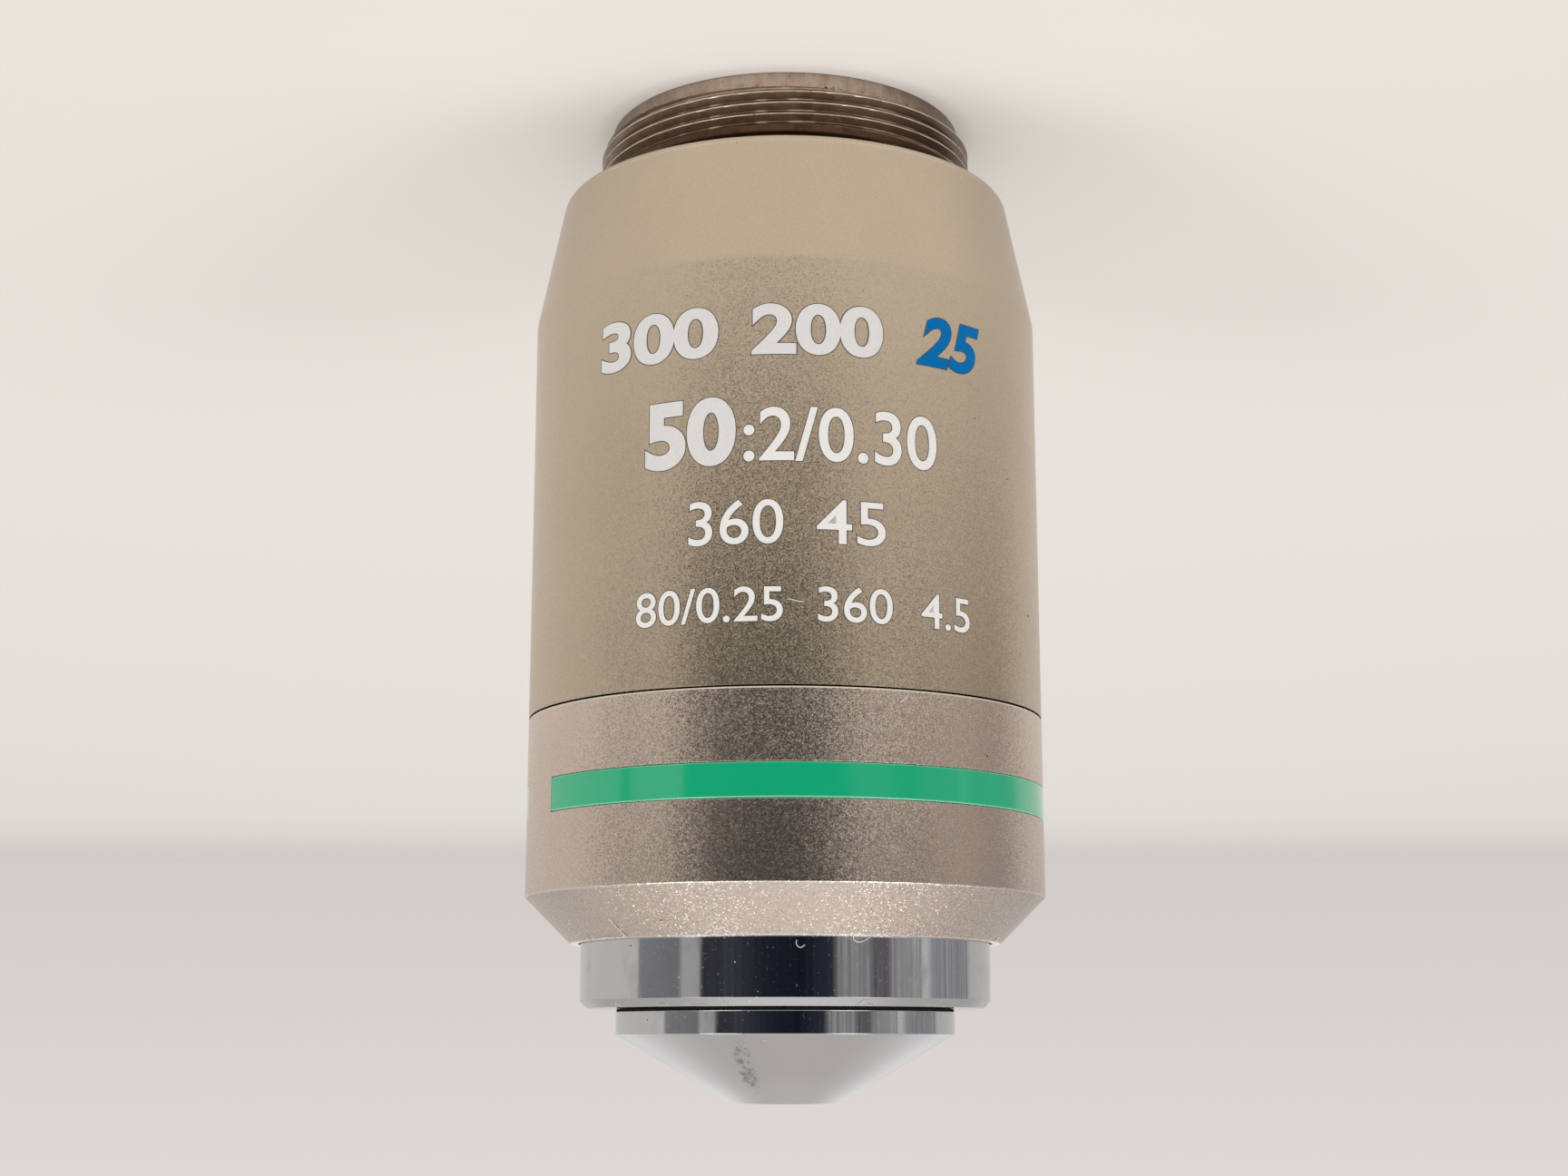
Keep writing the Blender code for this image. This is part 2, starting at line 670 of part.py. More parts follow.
def cell_bore(group):
    """Inside of a cell from its front to its rear: the lens's bore, and a seat along its rear rim."""
    bore = group["edge"] + CEMENT_GAP
    rear = group["surfaces"][-1]
    return [
        (bore, group["top"]),
        (bore, height_at(rear, bore) - SEAT_GAP),
        (group["lip"], height_at(rear, group["lip"]) - SEAT_GAP),
        (group["lip"], group["bottom"]),
    ]


def lens_cell(group, parent):
    """Brass ring round one lens group. The first reaches up into the cap, the last down past the ring."""
    outside = [(CELL_RADIUS, group["bottom"]), (CELL_RADIUS, group["top"])]
    if group is STACK[0]:
        flange_front = SKIRT_REAR - SEAT_GAP - TIP
        outside[1:] = [(CELL_RADIUS, flange_front), (BOSS_RADIUS, flange_front), (BOSS_RADIUS, group["top"])]
    if group is STACK[-1]:
        flange_rear = EXIT_FLANGE_REAR - TIP
        boss = [(EXIT_BOSS_RADIUS, group["bottom"]), (EXIT_BOSS_RADIUS, flange_rear)]
        outside[:1] = [*boss, (CELL_RADIUS, flange_rear)]
    outline = raised(outside + cell_bore(group), TIP)
    return turned(group["name"] + "_cell", outline, "black_brass", parent, GLASS_STEPS)


def cell_insert(group, parent):
    """The spacer or the aperture stop that lies behind a group's cell."""
    thickness, bore = insert_size(group["behind"], group["lip"])
    rear = TIP + group["insert"]
    outline = ring_outline(bore, CELL_RADIUS, rear, rear + thickness)
    return turned(group["behind"], outline, "black_brass", parent, GLASS_STEPS)


def lock_ring(parent):
    """Threaded ring behind the cells, with a slot across it for the tool."""
    outline = ring_outline(LOCK_RING_BORE, CELL_RADIUS, LOCK_RING_REAR, LOCK_RING_FRONT)
    ring = turned("lock_ring", outline, "black_brass", parent, GLASS_STEPS)
    reach = CELL_RADIUS + CUTTER_OVERSHOOT
    low = (-reach, -LOCK_SLOT_WIDTH / 2, LOCK_RING_REAR - CUTTER_OVERSHOOT)
    high = (reach, LOCK_SLOT_WIDTH / 2, LOCK_RING_REAR + LOCK_SLOT_DEPTH)
    cut(ring, slab("tool_slot", low, high, parent))
    return ring


def body_empty(name):
    empty = bpy.data.objects.new(name, None)
    bpy.context.scene.collection.objects.link(empty)
    return empty


def main():
    clear_scene()
    barrel = body_empty("barrel")
    for make in (
        mount_ring,
        body_sleeve,
        front_sleeve,
        colour_band,
        parfocal_shim,
        guide_tube,
        guide_screw,
        return_spring,
    ):
        make(barrel)
    nose = body_empty("nose")
    for make in (lens_barrel, nose_ring, nose_cone, front_lens, lock_ring):
        make(nose)
    for group in STACK:
        lens_cell(group, nose)
        lens_elements(group, nose)
        if "behind" in group:
            cell_insert(group, nose)


main()
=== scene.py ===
"""Looks of a microscope objective with a champagne sleeve, a green band and a chromed nose.

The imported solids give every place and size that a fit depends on. Lengths below are in millimetres and are
written to the meshes in metres. The optical axis is +Z, the threaded end stands on the table at height 0,
and the side with the main inscription faces -Y. Angles round the axis are in degrees from that side, and
grow towards -X, which the camera, held upside down, shows on the right.
"""
import math
import random

import bmesh
import bpy
from mathutils import Euler, Matrix, Vector


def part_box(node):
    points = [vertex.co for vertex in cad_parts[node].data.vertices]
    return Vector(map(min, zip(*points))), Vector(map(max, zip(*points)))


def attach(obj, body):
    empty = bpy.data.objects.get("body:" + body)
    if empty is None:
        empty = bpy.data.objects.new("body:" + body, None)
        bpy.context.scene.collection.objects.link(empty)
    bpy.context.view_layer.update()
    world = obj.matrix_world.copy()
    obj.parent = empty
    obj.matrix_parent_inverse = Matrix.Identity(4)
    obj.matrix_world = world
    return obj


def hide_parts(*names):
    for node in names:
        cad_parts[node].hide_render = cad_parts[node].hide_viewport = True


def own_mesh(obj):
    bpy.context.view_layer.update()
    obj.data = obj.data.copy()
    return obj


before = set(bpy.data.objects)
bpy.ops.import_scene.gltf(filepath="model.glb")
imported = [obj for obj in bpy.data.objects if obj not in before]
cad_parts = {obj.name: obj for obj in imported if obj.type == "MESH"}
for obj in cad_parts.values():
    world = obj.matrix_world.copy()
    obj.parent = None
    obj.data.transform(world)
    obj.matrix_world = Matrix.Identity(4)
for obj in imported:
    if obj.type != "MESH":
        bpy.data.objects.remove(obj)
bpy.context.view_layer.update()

MM = 0.001


def reach(node):
    """Outer radius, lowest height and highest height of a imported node, in millimetres."""
    low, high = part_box(node)
    return high.x / MM, low.z / MM, high.z / MM


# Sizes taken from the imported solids
BODY_RADIUS, SHOULDER, SPIGOT_FRONT = reach("body_sleeve")
_, FRONT_SLEEVE_REAR, BODY_FRONT = reach("front_sleeve")
FLANGE_RADIUS, _, FLANGE_FRONT = reach("mount_ring")
_, BAND_REAR, BAND_FRONT = reach("colour_band")
RING_RADIUS, RING_REAR, RING_FRONT = reach("nose_ring")
CAP_RADIUS, SKIRT_REAR, TIP = reach("nose_cone")
LOCK_RADIUS, LOCK_REAR, LOCK_FRONT = reach("lock_ring")
SPRING_OUTER, SPRING_REAR, SPRING_FRONT = reach("return_spring")
EXIT_REAR = reach("exit_cell")[1]

# Smoothness of turned pieces, and the play between one that fits in another
COLUMNS = 288
CORNER_STEP = math.radians(18)
CORNER_LEAD = 0.02
SHARP_ANGLE = math.radians(24)
FIT = 0.05

# Mount with its thread, M25 x 0.75, right-handed. Crest and root are shares of half the pitch.
THREAD_RADIUS = 12.5
THREAD_PITCH = 0.75
THREAD_DEPTH = 0.43
THREAD_CREST_HEIGHT = 1.62
THREAD_CREST = 0.09
THREAD_ROOT = 0.12
THREAD_CHAMFER = 0.25
THREAD_RUN_OUT = 0.42
THREAD_REAR = 1.15
THREAD_FRONT = 4.15
THREAD_ROW = 0.018
PILOT_RADIUS = 11.8
UNDERCUT_RADIUS = 11.7
MOUNT_BORE = 9.6
MOUNT_BORES = (13.35, 12.5, MOUNT_BORE)
MOUNT_STEPS = (SHOULDER + 1.5, SHOULDER + 0.8)

# Sleeves
RIM_RADIUS = 14.9
RIM_FILLET = 0.4
TAPER_FRONT = SHOULDER + 8.46
SEAM = FRONT_SLEEVE_REAR - 0.05
SEAM_GROOVE = 0.3
SEAM_EDGE = 0.06
SPIGOT_RADIUS = 15.0
SLEEVE_BORE = 13.4
FRONT_BORE = 13.2
FRONT_BORE_REAR = 47.3
FRONT_RIM = 13.7
CHAMFER_REAR = BODY_FRONT - (BODY_RADIUS - FRONT_RIM)

# Enamel band, open over a short arc on the side, and the broken edges of its groove
BAND_DEPTH = 0.25
BAND_START = -13.5
BAND_SWEEP = 342.7
BAND_PLAY = 0.03
LIP = 0.04

# Chromed ring and cap, and the lens in the tip
RING_CHAMFER = 0.5
RING_LIP = CAP_RADIUS - 0.71
RING_LIP_REAR = RING_FRONT - 0.9
BARREL_RADIUS = RING_RADIUS - 1.55
CAP_CONE = 4.25
CAP_FRONT = TIP - CAP_CONE
CAP_REAR = CAP_FRONT - 1.38
CAP_NECK = 10.0
CAP_STEP = 10.71
CAP_CLEARANCE = 0.03
CAP_CAVITY = 8.4
CAVITY_FRONT = 59.579
TIP_RADIUS = 3.52
TIP_APERTURE = 2.34
TIP_LIP = 1.4
LENS_BORE = 4.64
LENS_FACE = 2.3
LENS_RECESS = 0.15
LENS_CURVE = 7.0
LENS_REAR_CURVE = 6.0
LENS_LENGTH = 5.5

# Lock ring, exit cell and return spring, seen through the mount from behind
LOCK_BORE = 8.6
LOCK_SLOT_HALF = 0.6
LOCK_SLOT_DEPTH = 0.7
LOCK_SLOT_EDGE = 0.0002
EXIT_BOSS = 8.5
EXIT_BORE = 6.84
EXIT_SEAT = EXIT_REAR + 2.3
EXIT_LIP = 6.0
EXIT_LIP_FRONT = EXIT_REAR + 1.6
EXIT_FLANGE_REAR = 15.7
EXIT_FLANGE_FRONT = 16.9
CELL_RADIUS = 10.0
SPRING_WIRE = 0.8
SPRING_TURNS = 4
SPRING_CLOSED = 0.85


def operator(operation, swapped=False):
    """A Python operator that adds a Math node."""

    def apply(self, other):
        pair = (other, self) if swapped else (self, other)
        return self.tree.math(operation, *pair)

    return apply


class Value:
    """A node's output. Python's operators on it add Math nodes to its tree."""

    def __init__(self, tree, socket):
        self.tree = tree
        self.socket = socket

    __add__ = operator("ADD")
    __radd__ = operator("ADD", swapped=True)
    __sub__ = operator("SUBTRACT")
    __rsub__ = operator("SUBTRACT", swapped=True)
    __mul__ = operator("MULTIPLY")
    __rmul__ = operator("MULTIPLY", swapped=True)
    __truediv__ = operator("DIVIDE")


def opaque(colour):
    """A colour with its alpha, or what already is a Value."""
    return colour if isinstance(colour, Value) else (*colour, 1.0)


class Tree:
    """A node tree, for a material, the world or geometry."""

    def __init__(self, nodes_tree):
        self.tree = nodes_tree

    def node(self, kind, inputs=(), output=0, **settings):
        """Adds a node. The inputs are values or links, by name or number."""
        made = self.tree.nodes.new(kind)
        for key, value in settings.items():
            setattr(made, key, value)
        for key, value in inputs.items() if isinstance(inputs, dict) else enumerate(inputs):
            if isinstance(value, Value):
                self.tree.links.new(value.socket, made.inputs[key])
            else:
                made.inputs[key].default_value = value
        return Value(self, made.outputs[output])

    def math(self, operation, *values):
        return self.node("ShaderNodeMath", values, operation=operation)

    def vector_math(self, operation, *values, output=0):
        return self.node("ShaderNodeVectorMath", values, output, operation=operation)

    def scaled(self, vector, factor):
        return self.node("ShaderNodeVectorMath", {0: vector, 3: factor}, operation="SCALE")

    def split(self, vector):
        """The three parts of a vector."""
        parts = self.node("ShaderNodeSeparateXYZ", [vector]).socket.node
        return [Value(self, socket) for socket in parts.outputs]

    def join(self, x, y, z):
        return self.node("ShaderNodeCombineXYZ", [x, y, z])

    def span(self, value, low, high, to_low=0.0, to_high=1.0, smooth=True):
        """Value taken from one range to another, held at both ends."""
        inputs = [value, low, high, to_low, to_high]
        kind = "SMOOTHSTEP" if smooth else "LINEAR"
        return self.node("ShaderNodeMapRange", inputs, interpolation_type=kind, clamp=True)

    def mix(self, factor, first, second, blend="MIX"):
        """Two colours mixed."""
        inputs = {0: factor, 6: opaque(first), 7: opaque(second)}
        settings = {"data_type": "RGBA", "blend_type": blend, "clamp_factor": True}
        return self.node("ShaderNodeMix", inputs, 2, **settings)

    def noise(self, place, scale, detail=2.0, roughness=0.5):
        inputs = {"Vector": place, "Scale": scale, "Detail": detail, "Roughness": roughness}
        return self.node("ShaderNodeTexNoise", inputs)

    def ramp(self, factor, stops):
        """Colours at positions. A stop is (position, colour)."""
        made = self.node("ShaderNodeValToRGB", [factor])
        ramp = made.socket.node.color_ramp
        while len(ramp.elements) < len(stops):
            ramp.elements.new(1.0)
        for element, (position, colour) in zip(ramp.elements, stops):
            element.position = position
            element.color = opaque(colour)
        return made

    def radius(self, place):
        """Distance from the axis."""
        x, y, _ = self.split(place)
        return self.math("SQRT", x * x + y * y)

    def turn(self, place):
        """Angle round the axis from +X, as a share of a turn."""
        x, y, _ = self.split(place)
        return self.math("ARCTAN2", y, x) / (2 * math.pi)

    def bearing(self, place):
        """Angle round the axis from the near side towards -X, in radians."""
        x, y, _ = self.split(place)
        return self.math("ARCTAN2", 0 - x, 0 - y)

    def by_direction(self, place, stops):
        """What changes round the axis. A stop is (degrees, colour), or (degrees, share)."""
        turn = self.bearing(place) / (2 * math.pi) + 0.5
        colours = [(at, what if isinstance(what, tuple) else (what,) * 3) for at, what in stops]
        return self.ramp(turn, [((degrees + 180) / 360, colour) for degrees, colour in colours])


class Finish(Tree):
    """A material with one Principled shader, which reads the piece's own coordinates."""

    def __init__(self, name, colour, **uniform):
        self.material = bpy.data.materials.new(name)
        self.material.use_nodes = True
        super().__init__(self.material.node_tree)
        self.shader = self.tree.nodes["Principled BSDF"]
        self.place = self.node("ShaderNodeTexCoord", output="Object")
        self.colour = colour
        for key, value in uniform.items():
            title = key.replace("_", " ").title().replace("Ior", "IOR")
            self.shader.inputs[title].default_value = value

    def height(self):
        return self.split(self.place)[2] / MM

    def cloudy(self, scale, detail=2.0, roughness=0.5):
        """Noise that is the same every way."""
        return self.noise(self.place, scale, detail, roughness)

    def lined(self, along, around, detail=2.0, roughness=0.5):
        """Noise that runs one way. Its scales along and around the axis are per millimetre."""
        x, y, z = self.split(self.place)
        place = self.join(x * (around / MM), y * (around / MM), z * (along / MM))
        return self.noise(place, 1.0, detail, roughness)

    def stain(self, share, colour):
        """Mixes a colour into the base colour."""
        self.colour = self.mix(share, self.colour, colour)

    def feed(self, name, value):
        self.tree.links.new(value.socket, self.shader.inputs[name])

    def bump(self, height, depth, strength=1.0):
        """Feeds a Bump node made of a height between 0 and 1 and its depth in millimetres."""
        made = self.node("ShaderNodeBump", {"Strength": strength, "Distance": depth * MM, "Height": height})
        self.feed("Normal", made)
        return made

    def facets(self, scale, tilt, under):
        """Tilts the normal at random from cell to cell, as the facets of a blasted surface do."""
        chance = self.node("ShaderNodeTexVoronoi", {"Vector": self.place, "Scale": scale}, "Color")
        lean = self.scaled(self.vector_math("SUBTRACT", chance, (0.5, 0.5, 0.5)), tilt)
        self.feed("Normal", self.vector_math("NORMALIZE", self.vector_math("ADD", under, lean)))
        return chance

    def done(self, roughness=None):
        self.feed("Base Color", self.colour)
        if roughness is not None:
            self.feed("Roughness", roughness)
        return self.material


# Finishes

# Painted highlight along the sleeves' edges: its width and colour
SHEEN_WIDTH = 0.08
SHEEN_COLOUR = (0.86, 0.78, 0.69)
REAR_TINT = (1.0, 0.9, 0.76)

# Painted light on the mount: how much painted shade it gets by direction, the width and colour of the painted
# highlight on its crests, the colour of its painted shade, and that of the painted contact shadow at its foot
SIDE_SHADE = (
    (-180, 0.3), (-75, 0.55), (-62, 0.5), (-46, 0.3), (-30, 0.16), (-10, 0.0), (10, 0.0), (28, 0.16),
    (50, 0.75), (66, 0.7), (180, 0.3),
)
CREST_HIGHLIGHT_WIDTH = 0.06
CREST_HIGHLIGHT_COLOUR = (0.78, 0.7, 0.62)
SHADE_BROWN = (0.16, 0.11, 0.08)
FOOT_SHADOW = (0.1, 0.075, 0.055)

# Greasy smudge on the cone: its middle, how it leans with height, and half its width and height
SMUDGE_ANGLE = math.radians(-18.8)
SMUDGE_HEIGHT = 62.0
SMUDGE_LEAN = math.radians(-1.9)
SMUDGE_SPREAD = 0.6
SMUDGE_REACH = 1.6


def champagne(name, colour, shade, roughness, grain, worn):
    """Satin plating over a blasted surface: sparkling facets, faint clouds, and a painted highlight along its
    edges.

    The edges with the painted highlight are given in worn, as pairs: the height in millimetres and the
    strength.
    """
    made = Finish(name, colour, metallic=1.0)
    height = made.height()
    coarse = made.cloudy(9000.0, 2.0, 0.6)
    fine = made.cloudy(18000.0, 1.0)
    made.stain(made.span(fine, 0.35, 0.65) * 0.4, shade)
    made.stain(made.span(made.cloudy(180.0), 0.35, 0.7) * 0.12, shade)
    made.stain(made.span(height, 12.0, 30.0, 0.1, 0.0), REAR_TINT)
    # Painted shade on the front chamfer and on everything ahead of it
    made.stain(made.span(height, CHAMFER_REAR, CHAMFER_REAR + 0.1) * 0.55, shade)
    # Painted highlight along the given edges, standing in for the light on their rounded corners
    edge_sheen = 0
    for edge, strength in worn:
        near_edge = made.span(made.math("ABSOLUTE", height - edge), 0.03, SHEEN_WIDTH, strength, 0.0)
        edge_sheen = made.math("MAXIMUM", near_edge, edge_sheen)
    made.stain(edge_sheen, SHEEN_COLOUR)
    soft = made.bump(coarse * 0.6 + fine * 0.4, 0.01)
    slope = made.span(height, CHAMFER_REAR - 0.02, CHAMFER_REAR + 0.02, 1.0, 2.2)
    hues = made.facets(16500.0, slope * (0.16 * grain), soft)
    made.stain(0.035 * grain, hues)
    return made.done(roughness + coarse * 0.08 + made.lined(9.0, 0.12) * 0.04)


def enamel():
    """Glossy green enamel with a slight waviness where it flowed into its groove."""
    made = Finish("green_enamel", (0.003, 0.47, 0.225), roughness=0.16, coat_weight=0.6, coat_roughness=0.05)
    height = made.height()
    flow = made.cloudy(260.0)
    # Painted highlight along the band's rounded front and rear edges
    front_highlight = made.span(height, BAND_FRONT - 0.12, BAND_FRONT - 0.05)
    rear_highlight = made.span(height, BAND_REAR + 0.03, BAND_REAR + 0.08, 1.0, 0.0)
    made.stain(flow * 0.3, (0.005, 0.52, 0.255))
    made.stain(front_highlight * 0.75 + rear_highlight * 0.4, (0.36, 0.86, 0.6))
    made.bump(flow * 0.8 + made.cloudy(9000.0, 1.0) * 0.2, 0.004, 0.5)
    return made.done()


def polished_chrome():
    """Polished chromium: clouded where it was handled, with hairlines and specks in the film."""
    made = Finish("polished_chrome", (0.67, 0.665, 0.67), metallic=1.0)
    wear = made.span(made.cloudy(420.0, 4.0, 0.65), 0.45, 0.75)
    smeared = made.span(made.lined(0.35, 0.9, 3.0, 0.6), 0.5, 0.72)
    specks = made.span(made.cloudy(5200.0, 3.0, 0.6), 0.62, 0.72)
    scratches = made.lined(0.5, 6.0, 4.0, 0.7)
    hairlines = made.span(scratches, 0.6, 0.8)
    made.stain(wear * 0.35, (0.57, 0.55, 0.54))
    made.stain(smeared * 0.45, (0.47, 0.46, 0.45))
    made.bump(made.lined(14.0, 0.2, 3.0) * 0.6 + scratches * 0.4, 0.0016, 0.6)
    return made.done(0.035 + wear * 0.07 + smeared * 0.08 + specks * 0.3 + hairlines * 0.06)


def satin_chrome():
    """Cone of the cap: chromium on a finely turned face, paler near the tip, with a greasy smudge."""
    made = Finish("satin_chrome", (0.5, 0.485, 0.47), metallic=1.0)
    z = made.split(made.place)[2]
    radius = made.radius(made.place)
    height = z / MM
    haze = made.cloudy(300.0, 3.0)
    beyond = height - SMUDGE_HEIGHT
    angle = made.bearing(made.place) - (SMUDGE_LEAN * beyond + SMUDGE_ANGLE)
    aside = angle * radius / (SMUDGE_SPREAD * MM)
    away = beyond / SMUDGE_REACH
    smudge = made.span(aside * aside + away * away, 0.3, 1.4, 1.0, 0.0)
    smudge = smudge * made.span(made.cloudy(1700.0, 5.0, 0.75), 0.42, 0.6)
    made.stain(haze * 0.25, (0.43, 0.415, 0.4))
    made.stain(made.span(height, 62.2, 64.2) * 0.4, (0.62, 0.605, 0.59))
    made.stain(smudge * 0.85, (0.2, 0.19, 0.18))
    rings = made.join(radius * (9 / MM), z * (9 / MM), 0.0)
    made.bump(made.noise(rings, 1.0, 3.0), 0.004, 0.5)
    return made.done(0.18 + haze * 0.1 + smudge * 0.2)


def helix_phase(tree, turn, height, crest_height, pitch):
    """How far a point lies in front of the thread's nearest crest: 0 on the crest, 1 and -1 on the roots."""
    phase = (height - crest_height) / pitch - (turn + 0.25)
    return (tree.math("FRACT", phase + 0.5) - 0.5) * 2


def dark_nickel():
    """Mount: turned brass with a brownish nickel film and dark specks, with painted shade on its sides, in
    its thread and under its shoulder, a painted contact shadow at its foot and a painted highlight on its
    crests.
    """
    made = Finish("dark_nickel", (0.5, 0.4, 0.32), metallic=1.0)
    height = made.height()
    radius = made.radius(made.place) / MM
    blotch = made.cloudy(700.0, 4.0, 0.65)
    specks = made.cloudy(5200.0)
    made.stain(made.span(blotch, 0.35, 0.7), (0.37, 0.27, 0.21))
    made.stain(made.span(made.lined(0.3, 1.6), 0.42, 0.7) * 0.4, (0.66, 0.56, 0.47))
    # Painted shade, darker towards the sides, by direction round the axis
    made.stain(made.by_direction(made.place, SIDE_SHADE), SHADE_BROWN)

    before_crest = helix_phase(made, made.turn(made.place), height, THREAD_CREST_HEIGHT, THREAD_PITCH)
    from_crest = made.math("ABSOLUTE", before_crest)
    # Painted shade on the rear flanks and in the roots of the thread, left out where painted glints run along
    # the roots
    behind = made.span(before_crest, -0.3, -THREAD_CREST, 0.9, 0.0)
    in_root = made.span(from_crest, 1 - THREAD_ROOT - 0.1, 1 - THREAD_ROOT)
    thread_shade = made.math("MAXIMUM", behind, in_root * 0.9)
    glints = made.span(made.lined(0.0, 0.5, 1.0), 0.5, 0.62)
    on_thread = made.span(height, THREAD_REAR + 0.2, THREAD_REAR + 0.5)
    on_thread = on_thread * made.span(height, THREAD_FRONT - 0.1, THREAD_FRONT, 1.0, 0.0)
    made.stain(on_thread * thread_shade * (1 - in_root * glints), SHADE_BROWN)
    # Painted highlight along the thread's crests, broken into lengths
    on_crest = made.span(from_crest, THREAD_CREST, THREAD_CREST + CREST_HIGHLIGHT_WIDTH, 1.0, 0.0)
    on_crest = on_crest * made.span(radius, THREAD_RADIUS - 0.12, THREAD_RADIUS - 0.04)
    on_crest = on_crest * made.span(height, THREAD_REAR, THREAD_REAR + 0.1)
    lengths = made.span(made.lined(0.6, 0.45), 0.3, 0.6, 0.4, 0.9)
    made.stain(on_crest * lengths, CREST_HIGHLIGHT_COLOUR)

    on_pilot = made.span(height, 0.5, 0.95) * made.span(height, THREAD_REAR, THREAD_REAR + 0.1, 1.0, 0.0)
    stained = made.span(made.cloudy(1900.0, 4.0, 0.7), 0.5, 0.62)
    made.stain(on_pilot * stained * 0.6, (0.22, 0.13, 0.085))
    made.stain(made.span(specks, 0.68, 0.74) * 0.8, (0.06, 0.045, 0.035))
    # Painted contact shadow at the foot, where it stands on the table
    made.stain(made.span(height, 0.05, 0.14, 0.75, 0.0), FOOT_SHADOW)
    # Painted shade under the shoulder, over the front end of the thread
    made.stain(made.span(height, THREAD_FRONT - 0.1, THREAD_FRONT, 0.0, 0.75), SHADE_BROWN)
    made.bump(made.lined(22.0, 0.15, 3.0) * 0.7 + specks * 0.3, 0.004, 0.6)
    return made.done(0.24 + blotch * 0.16)


def shaded_gap():
    """Deep black of the narrow gaps, where no light comes back out."""
    made = Finish("shaded_gap", (0.008, 0.008, 0.009), roughness=1.0, specular_ior_level=0.0)
    made.stain(made.cloudy(2000.0), (0.024, 0.023, 0.022))
    return made.done()


def turned_brass():
    """Bright turned brass with tool rings and a little tarnish."""
    made = Finish("turned_brass", (0.72, 0.56, 0.27), metallic=1.0)
    tarnish = made.cloudy(300.0, 4.0, 0.6)
    made.stain(made.span(tarnish, 0.4, 0.75), (0.46, 0.33, 0.15))
    made.bump(made.lined(26.0, 0.1, 3.0), 0.004, 0.7)
    return made.done(0.2 + tarnish * 0.2)


def blackened_brass():
    """Matt black stained brass, worn slightly grey along its turning marks."""
    made = Finish("blackened_brass", (0.012, 0.012, 0.013), metallic=0.5)
    rings = made.lined(18.0, 0.2, 3.0)
    blotch = made.cloudy(900.0, 3.0)
    made.stain(made.span(rings * blotch, 0.28, 0.42), (0.06, 0.056, 0.05))
    made.bump(rings, 0.006, 0.6)
    return made.done(0.42 + blotch * 0.2)


def spring_wire():
    """Drawn spring steel, slightly pitted, with a thin film of grease."""
    made = Finish("spring_wire", (0.55, 0.54, 0.53), metallic=1.0)
    film = made.cloudy(1400.0, 3.0)
    made.stain(film, (0.38, 0.36, 0.33))
    made.bump(made.cloudy(5200.0), 0.004, 0.5)
    return made.done(0.2 + film * 0.18)


def coated_glass():
    """Optical glass seen as a dark mirror with a violet-green coating and faint dust."""
    made = Finish("coated_glass", None, coat_weight=1.0, coat_roughness=0.01, ior=1.6)
    coating = [(0.0, (0.012, 0.008, 0.03)), (0.55, (0.006, 0.012, 0.02)), (1.0, (0.004, 0.02, 0.014))]
    made.colour = made.ramp(made.radius(made.place) / (9 * MM), coating)
    dust = made.cloudy(6000.0)
    made.stain(made.span(dust, 0.66, 0.75) * 0.3, (0.25, 0.25, 0.25))
    return made.done(0.03 + made.span(dust, 0.55, 0.8) * 0.1)


def paint(name, colour, rub):
    """Filled inscription paint with a slightly chalky, uneven face."""
    made = Finish(name, colour, ior=1.25, specular_ior_level=0.15)
    chalk = made.cloudy(4200.0, 3.0)
    made.stain(made.span(chalk, 0.4, 0.8) * 0.5, rub)
    made.bump(chalk, 0.004, 0.6)
    return made.done(0.42 + chalk * 0.2)


def lint_fluff(name, colour):
    """Lint, dust and dirt, matt and unevenly shaded."""
    made = Finish(name, colour, roughness=0.8)
    made.stain(made.cloudy(3000.0) * 0.5, tuple(part * 0.6 for part in colour))
    return made.done()


def finishes():
    # Edges of the front sleeve that get a painted highlight
    edge_sheen = [(FRONT_SLEEVE_REAR + 0.06, 0.8), (CHAMFER_REAR, 0.8), (BODY_FRONT - 0.02, 0.8)]
    return {
        # The long sleeve's rounded rim gets a fainter painted highlight
        "sleeve": champagne("champagne_sleeve", (0.62, 0.515, 0.39), (0.43, 0.35, 0.26), 0.24, 1.25,
                            [(SHOULDER + RIM_FILLET, 0.25)]),
        "front": champagne("champagne_front", (0.76, 0.635, 0.54), (0.52, 0.43, 0.365), 0.214, 1.4, edge_sheen),
        "enamel": enamel(),
        "chrome": polished_chrome(),
        "satin": satin_chrome(),
        "nickel": dark_nickel(),
        "brass": turned_brass(),
        "black": blackened_brass(),
        "gap": shaded_gap(),
        "steel": spring_wire(),
        "glass": coated_glass(),
        "white": paint("white_paint", (0.99, 0.975, 0.95), (0.92, 0.91, 0.89)),
        "broad_white": paint("broad_white_paint", (0.88, 0.87, 0.855), (0.8, 0.795, 0.785)),
        "blue": paint("blue_paint", (0.0, 0.18, 0.52), (0.002, 0.21, 0.53)),
        "ink_edge": paint("ink_edge", (0.1, 0.085, 0.07), (0.14, 0.12, 0.1)),
        "lint": lint_fluff("pale_lint", (0.92, 0.9, 0.85)),
        "dust": lint_fluff("white_dust", (0.8, 0.79, 0.77)),
        "dirt": lint_fluff("dark_dirt", (0.09, 0.07, 0.055)),
    }


# Meshes


def linked(name, data):
    """A new object of this data, in the scene."""
    made = bpy.data.objects.new(name, data)
    bpy.context.scene.collection.objects.link(made)
    return made


def smoothed(mesh):
    mesh.shade_smooth()
    mesh.set_sharp_from_angle(angle=SHARP_ANGLE)
    return mesh


def mesh_object(name, verts, faces, material):
    """A smooth mesh object, from vertices in millimetres."""
    mesh = bpy.data.meshes.new(name)
    mesh.from_pydata([Vector(v) * MM for v in verts], [], faces)
    mesh.materials.append(material)
    mesh.validate()
    return linked(name, smoothed(mesh))


